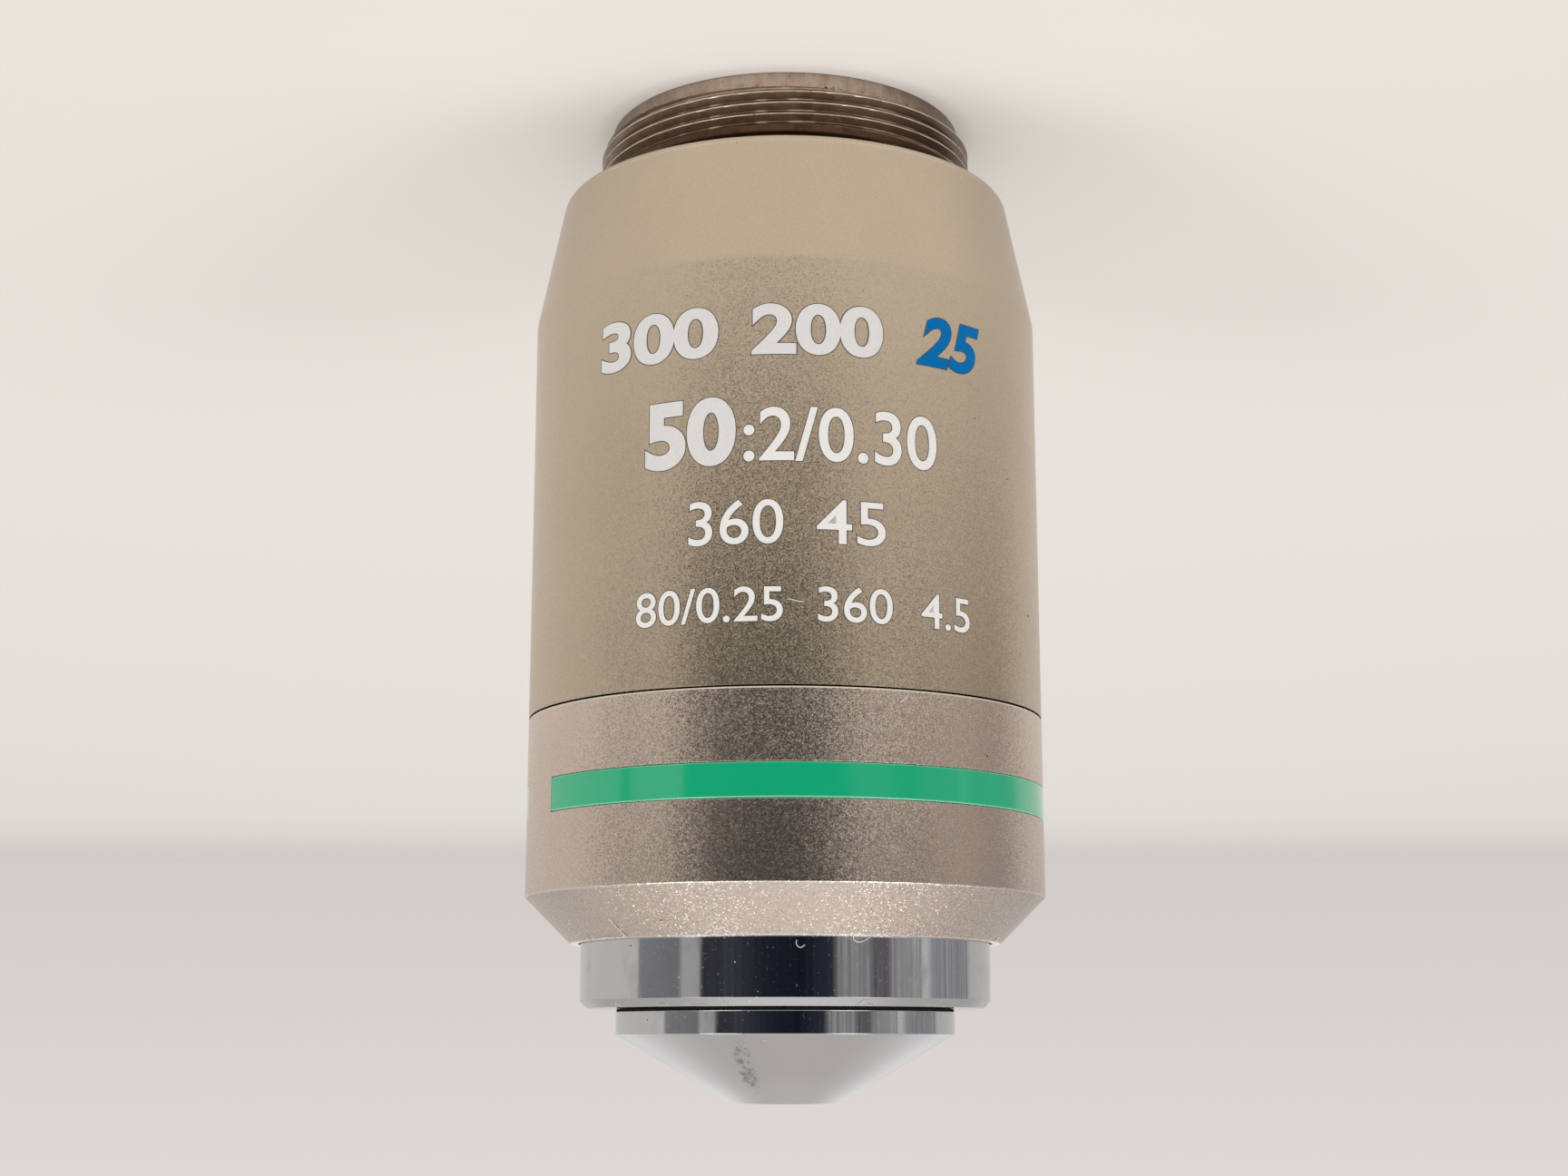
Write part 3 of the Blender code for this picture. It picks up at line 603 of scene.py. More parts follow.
def eased(corners):
    """A closed outline with rounded corners. A corner is (radius, height) or (radius, height, fillet)."""
    outline = []
    for i, corner in enumerate(corners):
        here = Vector(corner[:2])
        if len(corner) < 3:
            outline.append(tuple(here))
            continue
        back = (Vector(corners[i - 1][:2]) - here).normalized()
        ahead = (Vector(corners[(i + 1) % len(corners)][:2]) - here).normalized()
        half = back.angle(ahead) / 2
        leg = corner[2] / math.tan(half)
        centre = here + (back + ahead).normalized() * (corner[2] / math.sin(half))
        first = here + back * leg - centre
        last = here + ahead * leg - centre
        turn = math.pi - 2 * half
        steps = max(2, math.ceil(turn / CORNER_STEP))
        outline.append(tuple(here + back * (leg + CORNER_LEAD)))
        for k in range(steps + 1):
            share = k / steps
            spoke = (first * math.sin((1 - share) * turn) + last * math.sin(share * turn)) / math.sin(turn)
            outline.append(tuple(centre + spoke))
        outline.append(tuple(here + ahead * (leg + CORNER_LEAD)))
    return outline


def rows(start, end, step):
    """Points from one outline point to just before another, about a step apart."""
    start = Vector(start)
    run = Vector(end) - start
    count = max(1, round(run.length / step))
    return [tuple(start + run * (i / count)) for i in range(count)]


def every_column(count=COLUMNS):
    return [2 * math.pi * i / count for i in range(count)]


def columns_near(edges, steps, count=COLUMNS):
    """Columns all round, with some more close to every edge."""
    near = {(edge + step) % (2 * math.pi) for edge in edges for step in steps}
    return sorted({*every_column(count), *near})


def turned(name, outline, material, angles=None, all_round=True):
    """Turns a closed outline, or one that starts and ends on the axis. It may be a function of the angle.

    Where it isn't turned all round, its two ends are closed.
    """
    angles = angles or every_column()
    outlines = [outline(angle) if callable(outline) else outline for angle in angles]
    size = len(outlines[0])
    on_axis = [radius < 1e-6 for radius, _ in outlines[0]]
    verts = []
    index = []
    for i, angle in enumerate(angles):
        column = []
        for j, (radius, height) in enumerate(outlines[i]):
            if on_axis[j] and i > 0:
                column.append(index[0][j])
                continue
            column.append(len(verts))
            verts.append((radius * math.cos(angle), radius * math.sin(angle), height))
        index.append(column)
    faces = []
    for here, following in zip(index, index[1:] + (index[:1] if all_round else [])):
        for j in range(size):
            k = (j + 1) % size
            if not (on_axis[j] and on_axis[k]):
                faces.append(tuple(dict.fromkeys((here[j], following[j], following[k], here[k]))))
    if not all_round:
        faces += [tuple(index[0]), tuple(reversed(index[-1]))]
    return mesh_object(name, verts, faces, material)


def also(piece, material, chosen):
    """Gives another material to the faces that are chosen by their radius, height and upward lean."""
    piece.data.materials.append(material)
    for face in piece.data.polygons:
        if chosen(face.center.xy.length / MM, face.center.z / MM, face.normal.z):
            face.material_index = len(piece.data.materials) - 1


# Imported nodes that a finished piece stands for
replaced = set()


def settled(piece, body, node=None):
    """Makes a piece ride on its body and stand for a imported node."""
    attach(piece, body)
    if node:
        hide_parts(node)
        replaced.add(node)


class Shape(Tree):
    """A geometry tree that turns a carrier object's own mesh or curve into a piece."""

    def __init__(self, name, sizes):
        super().__init__(bpy.data.node_groups.new(name, "GeometryNodeTree"))
        self.sizes = sizes
        face = self.tree.interface
        for way in ("INPUT", "OUTPUT"):
            face.new_socket("Geometry", in_out=way, socket_type="NodeSocketGeometry")
        sockets = [face.new_socket(title, in_out="INPUT", socket_type="NodeSocketFloat") for title in sizes]
        self.keys = [socket.identifier for socket in sockets]
        entry = self.tree.nodes.new("NodeGroupInput")
        self.given = {socket.name: Value(self, socket) for socket in entry.outputs}

    def position(self):
        return self.node("GeometryNodeInputPosition")

    def tube(self, path, radius, resolution):
        """A round tube along a curve, closed at both ends."""
        inputs = {"Resolution": resolution, "Radius": radius}
        section = self.node("GeometryNodeCurvePrimitiveCircle", inputs)
        inputs = {"Curve": path, "Profile Curve": section, "Fill Caps": True}
        return self.node("GeometryNodeCurveToMesh", inputs)

    def baked(self, geometry, carrier, name, material):
        """Ends the tree in real geometry, runs it on the carrier and keeps the result as a plain mesh."""
        real = self.node("GeometryNodeRealizeInstances", [geometry])
        dressed = self.node("GeometryNodeSetMaterial", {"Geometry": real, "Material": material})
        leave = self.tree.nodes.new("NodeGroupOutput")
        self.tree.links.new(dressed.socket, leave.inputs[0])
        modifier = carrier.modifiers.new("shape", "NODES")
        modifier.node_group = self.tree
        for key, value in zip(self.keys, self.sizes.values()):
            modifier[key] = value
        view = bpy.context.evaluated_depsgraph_get()
        mesh = bpy.data.meshes.new_from_object(carrier.evaluated_get(view))
        mesh.name = name
        bpy.data.objects.remove(carrier)
        return linked(name, smoothed(mesh))


# Outer pieces


def threaded(carrier, name, material):
    """Cuts a helical thread into the rows of a turned land, wherever they stand above the helix."""
    sizes = {
        "Radius": THREAD_RADIUS * MM,
        "Depth": THREAD_DEPTH * MM,
        "Pitch": THREAD_PITCH * MM,
        "Crest Height": THREAD_CREST_HEIGHT * MM,
        "Rear": THREAD_REAR * MM,
        "Front": THREAD_FRONT * MM,
    }
    tree = Shape("helical_thread", sizes)
    given = tree.given
    here = tree.position()
    x, y, z = tree.split(here)
    radius = tree.radius(here)
    phase = helix_phase(tree, tree.turn(here), z, given["Crest Height"], given["Pitch"])
    cut = tree.span(tree.math("ABSOLUTE", phase), THREAD_CREST, 1 - THREAD_ROOT, smooth=False)
    share = tree.math("MINIMUM", radius, given["Radius"] - given["Depth"] * cut) / radius
    inside = tree.math("GREATER_THAN", z, given["Rear"] - 0.001 * MM)
    inside = inside * tree.math("LESS_THAN", z, given["Front"] + 0.001 * MM)
    inside = inside * tree.math("GREATER_THAN", radius, given["Radius"] - given["Depth"])
    place = tree.join(x * share, y * share, z)
    moved = tree.node("GeometryNodeSetPosition", [given["Geometry"], inside, place])
    return tree.baked(moved, carrier, name, material)


def mount_ring(look):
    """Threaded rear end. The rows in the land are dense enough to carry the helix."""
    land = (
        (THREAD_RADIUS - THREAD_CHAMFER, THREAD_REAR),
        (THREAD_RADIUS, THREAD_REAR + THREAD_CHAMFER),
        (THREAD_RADIUS, THREAD_FRONT - THREAD_RUN_OUT),
        (THREAD_RADIUS - THREAD_RUN_OUT, THREAD_FRONT),
    )
    thread = [point for pair in zip(land, land[1:]) for point in rows(*pair, THREAD_ROW)] + [land[-1]]
    rear = eased([
        (MOUNT_BORE, 0.0, 0.2), (PILOT_RADIUS, 0.0, 0.14), (PILOT_RADIUS, THREAD_REAR),
        (MOUNT_BORE, THREAD_REAR),
    ])[:-1]
    groove = eased([
        (UNDERCUT_RADIUS, THREAD_FRONT), (UNDERCUT_RADIUS, SHOULDER, 0.25), (FLANGE_RADIUS, SHOULDER, 0.05),
        (FLANGE_RADIUS, FLANGE_FRONT),
    ])
    inside = [(MOUNT_BORES[0], FLANGE_FRONT)]
    for height, wide, narrow in zip(MOUNT_STEPS, MOUNT_BORES, MOUNT_BORES[1:]):
        inside += [(wide, height), (narrow, height)]
    carrier = turned("mount_carrier", rear + thread + groove + inside, look["nickel"])
    piece = threaded(carrier, "threaded_mount", look["nickel"])
    settled(piece, "barrel", "mount_ring")


def long_sleeve(look):
    outline = eased([
        (FLANGE_RADIUS + FIT, SHOULDER), (RIM_RADIUS, SHOULDER, RIM_FILLET),
        (BODY_RADIUS, TAPER_FRONT, 2.0), (BODY_RADIUS, SEAM - SEAM_EDGE, 0.015),
        (BODY_RADIUS - SEAM_GROOVE, SEAM - SEAM_EDGE + 0.01), (BODY_RADIUS - SEAM_GROOVE, SEAM),
        (SPIGOT_RADIUS, SEAM), (SPIGOT_RADIUS, SPIGOT_FRONT, 0.1), (SLEEVE_BORE, SPIGOT_FRONT),
        (SLEEVE_BORE, FLANGE_FRONT + FIT), (FLANGE_RADIUS + FIT, FLANGE_FRONT + FIT),
    ])
    piece = turned("long_sleeve", outline, look["sleeve"])

    def in_seam(radius, height, lean):
        return radius < BODY_RADIUS - 0.03 and SEAM - SEAM_EDGE < height < SEAM + 0.01

    also(piece, look["gap"], in_seam)
    settled(piece, "barrel", "body_sleeve")


def short_sleeve(look):
    """Front sleeve. Its groove for the band runs only along the band's own arc."""
    play = math.degrees(BAND_PLAY / BODY_RADIUS)
    start = math.radians(BAND_START - play)
    sweep = math.radians(BAND_SWEEP + 2 * play)
    wall = math.radians(0.02)
    low = BAND_REAR - BAND_PLAY
    high = BAND_FRONT + BAND_PLAY
    corners = eased([
        (SPIGOT_RADIUS + FIT, FRONT_SLEEVE_REAR), (BODY_RADIUS - 0.04, FRONT_SLEEVE_REAR),
        (BODY_RADIUS, FRONT_SLEEVE_REAR + 0.09, 0.02), (BODY_RADIUS, CHAMFER_REAR, 0.1),
        (FRONT_RIM, BODY_FRONT, 0.06), (FRONT_BORE, BODY_FRONT, 0.06), (FRONT_BORE, FRONT_BORE_REAR),
        (SLEEVE_BORE, FRONT_BORE_REAR), (SLEEVE_BORE, SPIGOT_FRONT + FIT),
        (SPIGOT_RADIUS + FIT, SPIGOT_FRONT + FIT),
    ])
    split = next(i for i, point in enumerate(corners) if point[1] > (BAND_REAR + BAND_FRONT) / 2)

    def outline(angle):
        in_groove = (angle - start) % (2 * math.pi) <= sweep
        floor = BODY_RADIUS - BAND_DEPTH if in_groove else BODY_RADIUS
        edge = BODY_RADIUS - LIP if in_groove else BODY_RADIUS
        groove = [
            (BODY_RADIUS, low - LIP - CORNER_LEAD),
            (BODY_RADIUS, low - LIP),
            (edge, low),
            (floor, low + 0.001),
            (floor, high - 0.001),
            (edge, high),
            (BODY_RADIUS, high + LIP),
            (BODY_RADIUS, high + LIP + CORNER_LEAD),
        ]
        return corners[:split] + groove + corners[split:]

    angles = columns_near((start, start + sweep), (0.0, -wall, wall))
    piece = turned("short_sleeve", outline, look["front"], angles)
    settled(piece, "barrel", "front_sleeve")


def enamel_band(look):
    inner = BODY_RADIUS - BAND_DEPTH + 0.02
    outline = eased([
        (inner, BAND_REAR), (BODY_RADIUS, BAND_REAR, 0.04), (BODY_RADIUS, BAND_FRONT, 0.1),
        (inner, BAND_FRONT),
    ])
    count = round(COLUMNS * BAND_SWEEP / 360)
    angles = [math.radians(BAND_START + BAND_SWEEP * i / count) for i in range(count + 1)]
    piece = turned("enamel_band", outline, look["enamel"], angles, all_round=False)
    settled(piece, "barrel", "colour_band")


def chrome_ring(look):
    outline = eased([
        (BARREL_RADIUS + FIT, RING_REAR), (RING_RADIUS, RING_REAR, 0.1),
        (RING_RADIUS, RING_FRONT - RING_CHAMFER, 0.012), (RING_RADIUS - RING_CHAMFER, RING_FRONT, 0.06),
        (RING_LIP, RING_FRONT), (RING_LIP, RING_LIP_REAR), (BARREL_RADIUS + FIT, RING_LIP_REAR),
    ])
    piece = turned("chrome_ring", outline, look["chrome"])

    def on_chamfer(radius, height, lean):
        return 0.3 < lean < 0.95 and height > RING_FRONT - RING_CHAMFER

    also(piece, look["satin"], on_chamfer)
    settled(piece, "nose", "nose_ring")


def cone_cap(look):
    outline = eased([
        (CAP_CAVITY, SKIRT_REAR), (CAP_NECK, SKIRT_REAR, 0.1), (CAP_NECK, RING_FRONT + CAP_CLEARANCE),
        (CAP_STEP, RING_FRONT + CAP_CLEARANCE), (CAP_STEP, CAP_REAR), (CAP_RADIUS, CAP_REAR, 0.05),
        (CAP_RADIUS, CAP_FRONT, 0.04), (TIP_RADIUS, TIP, 0.08), (TIP_APERTURE, TIP, 0.06),
        (TIP_APERTURE, TIP - TIP_LIP), (LENS_BORE, TIP - TIP_LIP), (LENS_BORE, CAVITY_FRONT),
        (CAP_CAVITY, CAVITY_FRONT),
    ])
    piece = turned("cone_cap", outline, look["satin"])
    also(piece, look["chrome"], lambda radius, height, lean: height < CAP_FRONT and radius > CAP_RADIUS - 0.1)
    also(piece, look["gap"], lambda radius, height, lean: height <= CAP_REAR + 0.001)
    settled(piece, "nose", "nose_cone")


def dish(vertex, curve, edge, count=10):
    """Points of a ground surface from its middle out to its edge, hollow side towards the front."""
    radii = [edge * i / count for i in range(count + 1)]
    return [(radius, vertex + (curve - math.sqrt(curve**2 - radius**2))) for radius in radii]


def tip_lens(look):
    rim = TIP - LENS_RECESS
    bend = LENS_CURVE - math.sqrt(LENS_CURVE**2 - LENS_FACE**2)
    side = LENS_BORE - 0.04
    step = TIP - TIP_LIP - FIT
    front = dish(rim - bend, LENS_CURVE, LENS_FACE)
    rear = dish(rim - LENS_LENGTH, LENS_REAR_CURVE, 0.75 * LENS_REAR_CURVE)
    outline = front + [(LENS_FACE, step), (side, step), (side, rear[-1][1])] + rear[::-1]
    piece = turned("tip_lens", outline[::-1], look["glass"])
    settled(piece, "nose", "front_lens")


# Pieces seen through the mount from behind


def slotted_ring(look):
    """Ring that holds the cells, turned, with its slot stepped in by angle."""

    def outline(angle):
        def rear(radius):
            in_slot = abs(radius * math.sin(angle)) < LOCK_SLOT_HALF
            return radius, LOCK_REAR + (LOCK_SLOT_DEPTH if in_slot else 0.0)

        return [rear(LOCK_BORE), rear(LOCK_RADIUS), (LOCK_RADIUS, LOCK_FRONT), (LOCK_BORE, LOCK_FRONT)]

    halves = [math.asin(LOCK_SLOT_HALF / radius) for radius in (LOCK_BORE, LOCK_RADIUS)]
    edges = [middle + side * half for half in halves for middle in (0.0, math.pi) for side in (-1, 1)]
    angles = columns_near(edges, (-LOCK_SLOT_EDGE, LOCK_SLOT_EDGE), 180)
    piece = turned("slotted_ring", outline, look["black"], angles)
    settled(piece, "nose", "lock_ring")


def exit_mount(look):
    outline = eased([
        (EXIT_LIP, EXIT_REAR, 0.15), (EXIT_BOSS, EXIT_REAR, 0.3), (EXIT_BOSS, EXIT_FLANGE_REAR),
        (CELL_RADIUS, EXIT_FLANGE_REAR, 0.1), (CELL_RADIUS, EXIT_FLANGE_FRONT, 0.1),
        (EXIT_BORE, EXIT_FLANGE_FRONT), (EXIT_BORE, EXIT_SEAT), (EXIT_LIP, EXIT_LIP_FRONT),
    ])
    settled(turned("exit_mount", outline, look["black"]), "nose", "exit_cell")


def coil_spring(look):
    """Return spring, closed at both ends."""
    sizes = {
        "Coil Radius": (SPRING_OUTER - SPRING_WIRE / 2) * MM,
        "Wire Radius": SPRING_WIRE / 2 * MM,
        "Turns": float(SPRING_TURNS),
        "Rear": (SPRING_REAR + SPRING_WIRE / 2) * MM,
        "Front": (SPRING_FRONT - SPRING_WIRE / 2) * MM,
        "Closed Rise": SPRING_CLOSED * MM,
    }
    tree = Shape("closed_spring", sizes)
    given = tree.given
    line = tree.node("GeometryNodeCurvePrimitiveLine", {"End": (0.0, 0.0, 1.0)})
    wire = tree.node("GeometryNodeResampleCurve", {"Curve": line, "Count": 321})
    turn = tree.split(tree.position())[2] * given["Turns"]
    last = given["Turns"] - 1
    closed = given["Closed Rise"]
    open_rise = given["Front"] - given["Rear"] - closed * 2
    height = given["Rear"] + tree.math("MINIMUM", turn, 1.0) * closed
    height = height + tree.span(turn, 1.0, last, smooth=False) * open_rise
    height = height + tree.math("MAXIMUM", turn - last, 0.0) * closed
    x, y = (tree.math(way, turn * (2 * math.pi)) * given["Coil Radius"] for way in ("COSINE", "SINE"))
    coil = tree.node("GeometryNodeSetPosition", {"Geometry": wire, "Position": tree.join(x, y, height)})
    tube = tree.tube(coil, given["Wire Radius"], 14)
    carrier = linked("spring_carrier", bpy.data.meshes.new("spring_carrier"))
    piece = tree.baked(tube, carrier, "coil_spring", look["steel"])
    settled(piece, "barrel", "return_spring")
    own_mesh(piece)


# Inscriptions: plain numbers in the places and sizes of the printed rows

FIGURE_STRIP = 0.3
INK_HEIGHT = 0.014
INK_SINK = 0.02
# A thin dark outline round the figures: its height and how far it spreads
OUTLINE_HEIGHT = 0.005
OUTLINE_SPREAD = 0.05

# Rows: figures, left and right angle, baseline height, figure height, boldness, slant, paint
INSCRIPTION = (
    ("300", -43.0, -14.0, 20.1, 3.13, 0.035, 0.0, "broad_white"),
    ("200", -7.0, 20.8, 20.1, 3.13, 0.035, 0.0, "broad_white"),
    ("25", 28.6, 46.4, 20.1, 3.13, 0.03, 0.25, "blue"),
    ("50", -30.5, -10.2, 26.75, 4.15, 0.04, 0.0, "broad_white"),
    (":2/0.30", -8.6, 33.4, 26.75, 3.25, 0.012, 0.0, "white"),
    ("360", -20.2, -0.4, 31.8, 2.62, 0.004, 0.0, "white"),
    ("45", 6.4, 21.0, 31.8, 2.62, 0.004, 0.0, "white"),
    ("80/0.25", -32.3, -0.5, 36.45, 2.05, 0.006, 0.0, "white"),
    ("360", 6.6, 22.4, 36.45, 2.05, 0.006, 0.0, "white"),
    ("4.5", 29.1, 41.9, 36.45, 2.05, 0.006, 0.0, "white"),
)


def flat_figures(body, bold, slant):
    """A text's solid in the XY plane as a bmesh, in the built-in font at size 1."""
    curve = bpy.data.curves.new("figures", "FONT")
    curve.body = body
    curve.size = 1.0
    curve.offset = bold
    curve.shear = slant
    curve.extrude = 0.5
    curve.resolution_u = 8
    carrier = linked("figures", curve)
    view = bpy.context.evaluated_depsgraph_get()
    view.update()
    mesh = bpy.data.meshes.new_from_object(carrier.evaluated_get(view))
    bpy.data.objects.remove(carrier)
    bm = bmesh.new()
    bm.from_mesh(mesh)
    bpy.data.meshes.remove(mesh)
    bmesh.ops.remove_doubles(bm, verts=bm.verts, dist=1e-5)
    return bm


def extent(bm, axis):
    places = [vert.co[axis] for vert in bm.verts]
    return min(places), max(places)


def figure_height(bold):
    """Height of an upright figure of the built-in font at size 1, with this boldness."""
    bm = flat_figures("1", bold, 0.0)
    low, high = extent(bm, 1)
    bm.free()
    return high - low


def wrapped(bm, left, right, base, stretch, spread, top):
    """Scales flat figures to an arc and a height, cuts them into strips and lays them on the sleeve."""
    low, high = extent(bm, 0)
    start = math.radians(left) * BODY_RADIUS
    width = math.radians(right - left) * BODY_RADIUS
    for vert in bm.verts:
        along = start + (vert.co.x - low) / (high - low) * width
        vert.co = Vector((along, stretch(vert.co.y), vert.co.z))
    first = math.floor((start - spread) / FIGURE_STRIP)
    last = math.ceil((start + width + spread) / FIGURE_STRIP)
    for k in range(first, last + 1):
        geom = bm.verts[:] + bm.edges[:] + bm.faces[:]
        cut = (k * FIGURE_STRIP, 0, 0)
        bmesh.ops.bisect_plane(bm, geom=geom, plane_co=cut, plane_no=(1, 0, 0), dist=1e-6)
    for vert in bm.verts:
        angle = vert.co.x / BODY_RADIUS
        radius = BODY_RADIUS + (top if vert.co.z > 0 else -INK_SINK)
        vert.co = Vector((-radius * math.sin(angle), -radius * math.cos(angle), base - vert.co.y))
    bmesh.ops.recalc_face_normals(bm, faces=bm.faces)


def inscriptions(look):
    """Ink solids of every row, joined into one piece for each paint, over a thin darker edge."""
    inks = {name: bmesh.new() for name in ("white", "broad_white", "blue", "ink_edge")}
    # Each row also gets a thin dark outline, a little wider than its paint
    edge = ("ink_edge", OUTLINE_SPREAD, OUTLINE_HEIGHT)
    for body, left, right, base, tall, bold, slant, row_paint in INSCRIPTION:
        flat_height = figure_height(bold)
        for paint_name, extra, top in ((row_paint, 0.0, INK_HEIGHT), edge):
            bm = flat_figures(body, bold + extra * flat_height / tall, slant)
            spread = math.degrees(extra / BODY_RADIUS)
            wrapped(bm, left - spread, right + spread, base, lambda y: y * tall / flat_height, extra, top)
            mesh = bpy.data.meshes.new("row")
            bm.to_mesh(mesh)
            bm.free()
            inks[paint_name].from_mesh(mesh)
            bpy.data.meshes.remove(mesh)
    for name, bm in inks.items():
        mesh = bpy.data.meshes.new("figures_" + name)
        bmesh.ops.scale(bm, vec=(MM, MM, MM), verts=bm.verts)
        bm.to_mesh(mesh)
        bm.free()
        mesh.materials.append(look[name])
        settled(linked("figures_" + name, smoothed(mesh)), "barrel")


# Dust, lint and marks. A place is an angle from the near side and a height.

SKIN = (
    (0.0, PILOT_RADIUS), (THREAD_REAR, PILOT_RADIUS), (SHOULDER, RIM_RADIUS), (TAPER_FRONT, BODY_RADIUS),
    (CHAMFER_REAR, BODY_RADIUS), (BODY_FRONT, FRONT_RIM), (BODY_FRONT, RING_RADIUS),
    (RING_FRONT - RING_CHAMFER, RING_RADIUS), (RING_FRONT, RING_RADIUS - RING_CHAMFER),
    (CAP_REAR, CAP_RADIUS), (CAP_FRONT, CAP_RADIUS), (TIP, TIP_RADIUS),
)
LINT_THICKNESS = 0.055
LINT_WAVINESS = 0.12
LINT_ON_SLEEVES = (
    ((-44.9, 53.3), (-44.6, 53.61), (-44.4, 53.86), (-43.7, 54.29), (-42.9, 54.4)),
    ((-43.7, 54.29), (-44.4, 54.4), (-45.6, 54.46), (-46.4, 54.47)),
    ((-55.1, 54.46), (-52.0, 54.3), (-48.7, 54.44)),
    ((70.2, 54.2), (71.0, 54.46), (72.2, 54.4), (71.6, 54.15), (70.8, 54.3)),
    ((23.9, 41.07), (24.6, 40.95), (25.3, 40.7), (25.8, 40.54)),
    ((0.5, 35.18), (2.0, 35.22), (3.8, 35.37)),
)
LINT_ON_RING = (
    ((2.9, 54.7), (2.6, 54.95), (3.3, 55.14), (4.3, 55.16), (5.0, 55.0)),
    ((16.6, 54.46), (17.6, 54.7), (19.2, 54.82), (20.8, 54.76), (22.4, 54.54)),
)
FLUFF_THICKNESS = 0.022
FLUFF_WAVINESS = 0.16
FLUFF = (("sleeve_fluff", BODY_FRONT - 0.06, 46, "barrel"), ("cap_fluff", RING_FRONT - 0.1, 40, "nose"))
THREAD_DIRT = 120

# Marks: name, places, smallest and largest size, seed, finish and body
MARKS = (
    ("light_specks_sleeves", ((-1.0, 14.9), (29.7, 48.73)), 0.04, 0.05, 3, "dust", "barrel"),
    ("light_specks_nose", (
        (-13.0, 55.98), (-28.7, 56.82), (-25.5, 60.76), (-6.8, 60.43), (-7.3, 58.01), (-9.3, 58.21),
    ), 0.045, 0.07, 4, "dust", "nose"),
    ("dark_specks_sleeves", (
        (44.6, 22.89), (56.6, 26.07), (66.9, 34.28), (46.8, 43.74), (-29.9, 53.57),
    ), 0.05, 0.075, 5, "dirt", "barrel"),
    ("dark_specks_nose", ((-45.2, 54.89), (-51.1, 59.24)), 0.05, 0.075, 6, "dirt", "nose"),
)

# Dust: name, dusty piece, grains per square millimetre, least radius, two heights, largest size, seed,
# finish and body
SMALLEST_DUST = 0.012
DUST = (
    ("ring_dust", "chrome_ring", 0.14, RING_RADIUS - 0.1, BODY_FRONT, RING_FRONT - RING_CHAMFER, 0.06, 11,
     "dust", "nose"),
    ("cap_dust", "cone_cap", 0.25, CAP_RADIUS - 0.1, CAP_REAR, CAP_FRONT, 0.045, 12, "dust", "nose"),
    ("cone_dust", "cone_cap", 0.04, TIP_RADIUS, CAP_FRONT, TIP, 0.04, 13, "dust", "nose"),
    ("sleeve_dirt", "long_sleeve", 0.012, RIM_RADIUS, SHOULDER, SEAM, 0.04, 14, "dirt", "barrel"),
    ("front_dust", "short_sleeve", 0.02, FRONT_RIM, SEAM, BODY_FRONT, 0.04, 15, "dust", "barrel"),
)


def on_skin(degrees, height, lift=0.0):
    """A point of the object's outer surface, in millimetres."""
    for (low, start), (high, end) in zip(SKIN, SKIN[1:]):
        if low <= height < high:
            radius = start + (end - start) * (height - low) / (high - low)
    angle = math.radians(degrees)
    radius += lift
    return Vector((-radius * math.sin(angle), -radius * math.cos(angle), height))


def specks(name, carrier, sizes, seed, material, body):
    """Grains on the carrier's own points or, where a density is given, scattered over its faces."""
    tree = Shape("specks", sizes)
    given = tree.given
    points = given["Geometry"]
    if "Density" in sizes:
        here = tree.position()
        z = tree.split(here)[2]
        chosen = tree.math("GREATER_THAN", tree.radius(here), given["Least Radius"])
        chosen = chosen * tree.math("GREATER_THAN", z, given["From Height"])
        chosen = chosen * tree.math("LESS_THAN", z, given["To Height"])
        inputs = {"Mesh": points, "Selection": chosen, "Density": given["Density"], "Seed": seed}
        points = tree.node("GeometryNodeDistributePointsOnFaces", inputs)
    grain = tree.node("GeometryNodeMeshIcoSphere", {"Radius": 1.0, "Subdivisions": 1})
    chance = tree.node("FunctionNodeRandomValue", {"Seed": seed + 1}, 1, data_type="FLOAT")
    size = given["Smallest"] + chance * chance * chance * (given["Largest"] - given["Smallest"])

    def any_vector(low, high, own_seed):
        inputs = {0: (low,) * 3, 1: (high,) * 3, "Seed": own_seed}
        return tree.node("FunctionNodeRandomValue", inputs, data_type="FLOAT_VECTOR")

    scale = tree.scaled(any_vector(0.5, 1.3, seed + 2), size)
    turn = any_vector(0.0, 6.2, seed + 3)
    inputs = {"Points": points, "Instance": grain, "Rotation": turn, "Scale": scale}
    placed = tree.node("GeometryNodeInstanceOnPoints", inputs)
    settled(tree.baked(placed, carrier, name, material), body)


def placed_specks(name, places, smallest, largest, seed, material, body):
    mesh = bpy.data.meshes.new("speck_places")
    mesh.from_pydata([on_skin(degrees, height) * MM for degrees, height in places], [], [])
    sizes = {"Smallest": smallest * MM, "Largest": largest * MM}
    specks(name, linked("speck_places", mesh), sizes, seed, material, body)


def scattered_specks(name, source, density, inner, low, high, largest, seed, material, body):
    """Dust over another piece's faces, between two heights and outside a radius."""
    carrier = linked("speck_ground", bpy.data.objects[source].data.copy())
    sizes = {
        "Smallest": SMALLEST_DUST * MM,
        "Largest": largest * MM,
        "Density": density / MM**2,
        "Least Radius": inner * MM,
        "From Height": low * MM,
        "To Height": high * MM,
    }
    specks(name, carrier, sizes, seed, material, body)


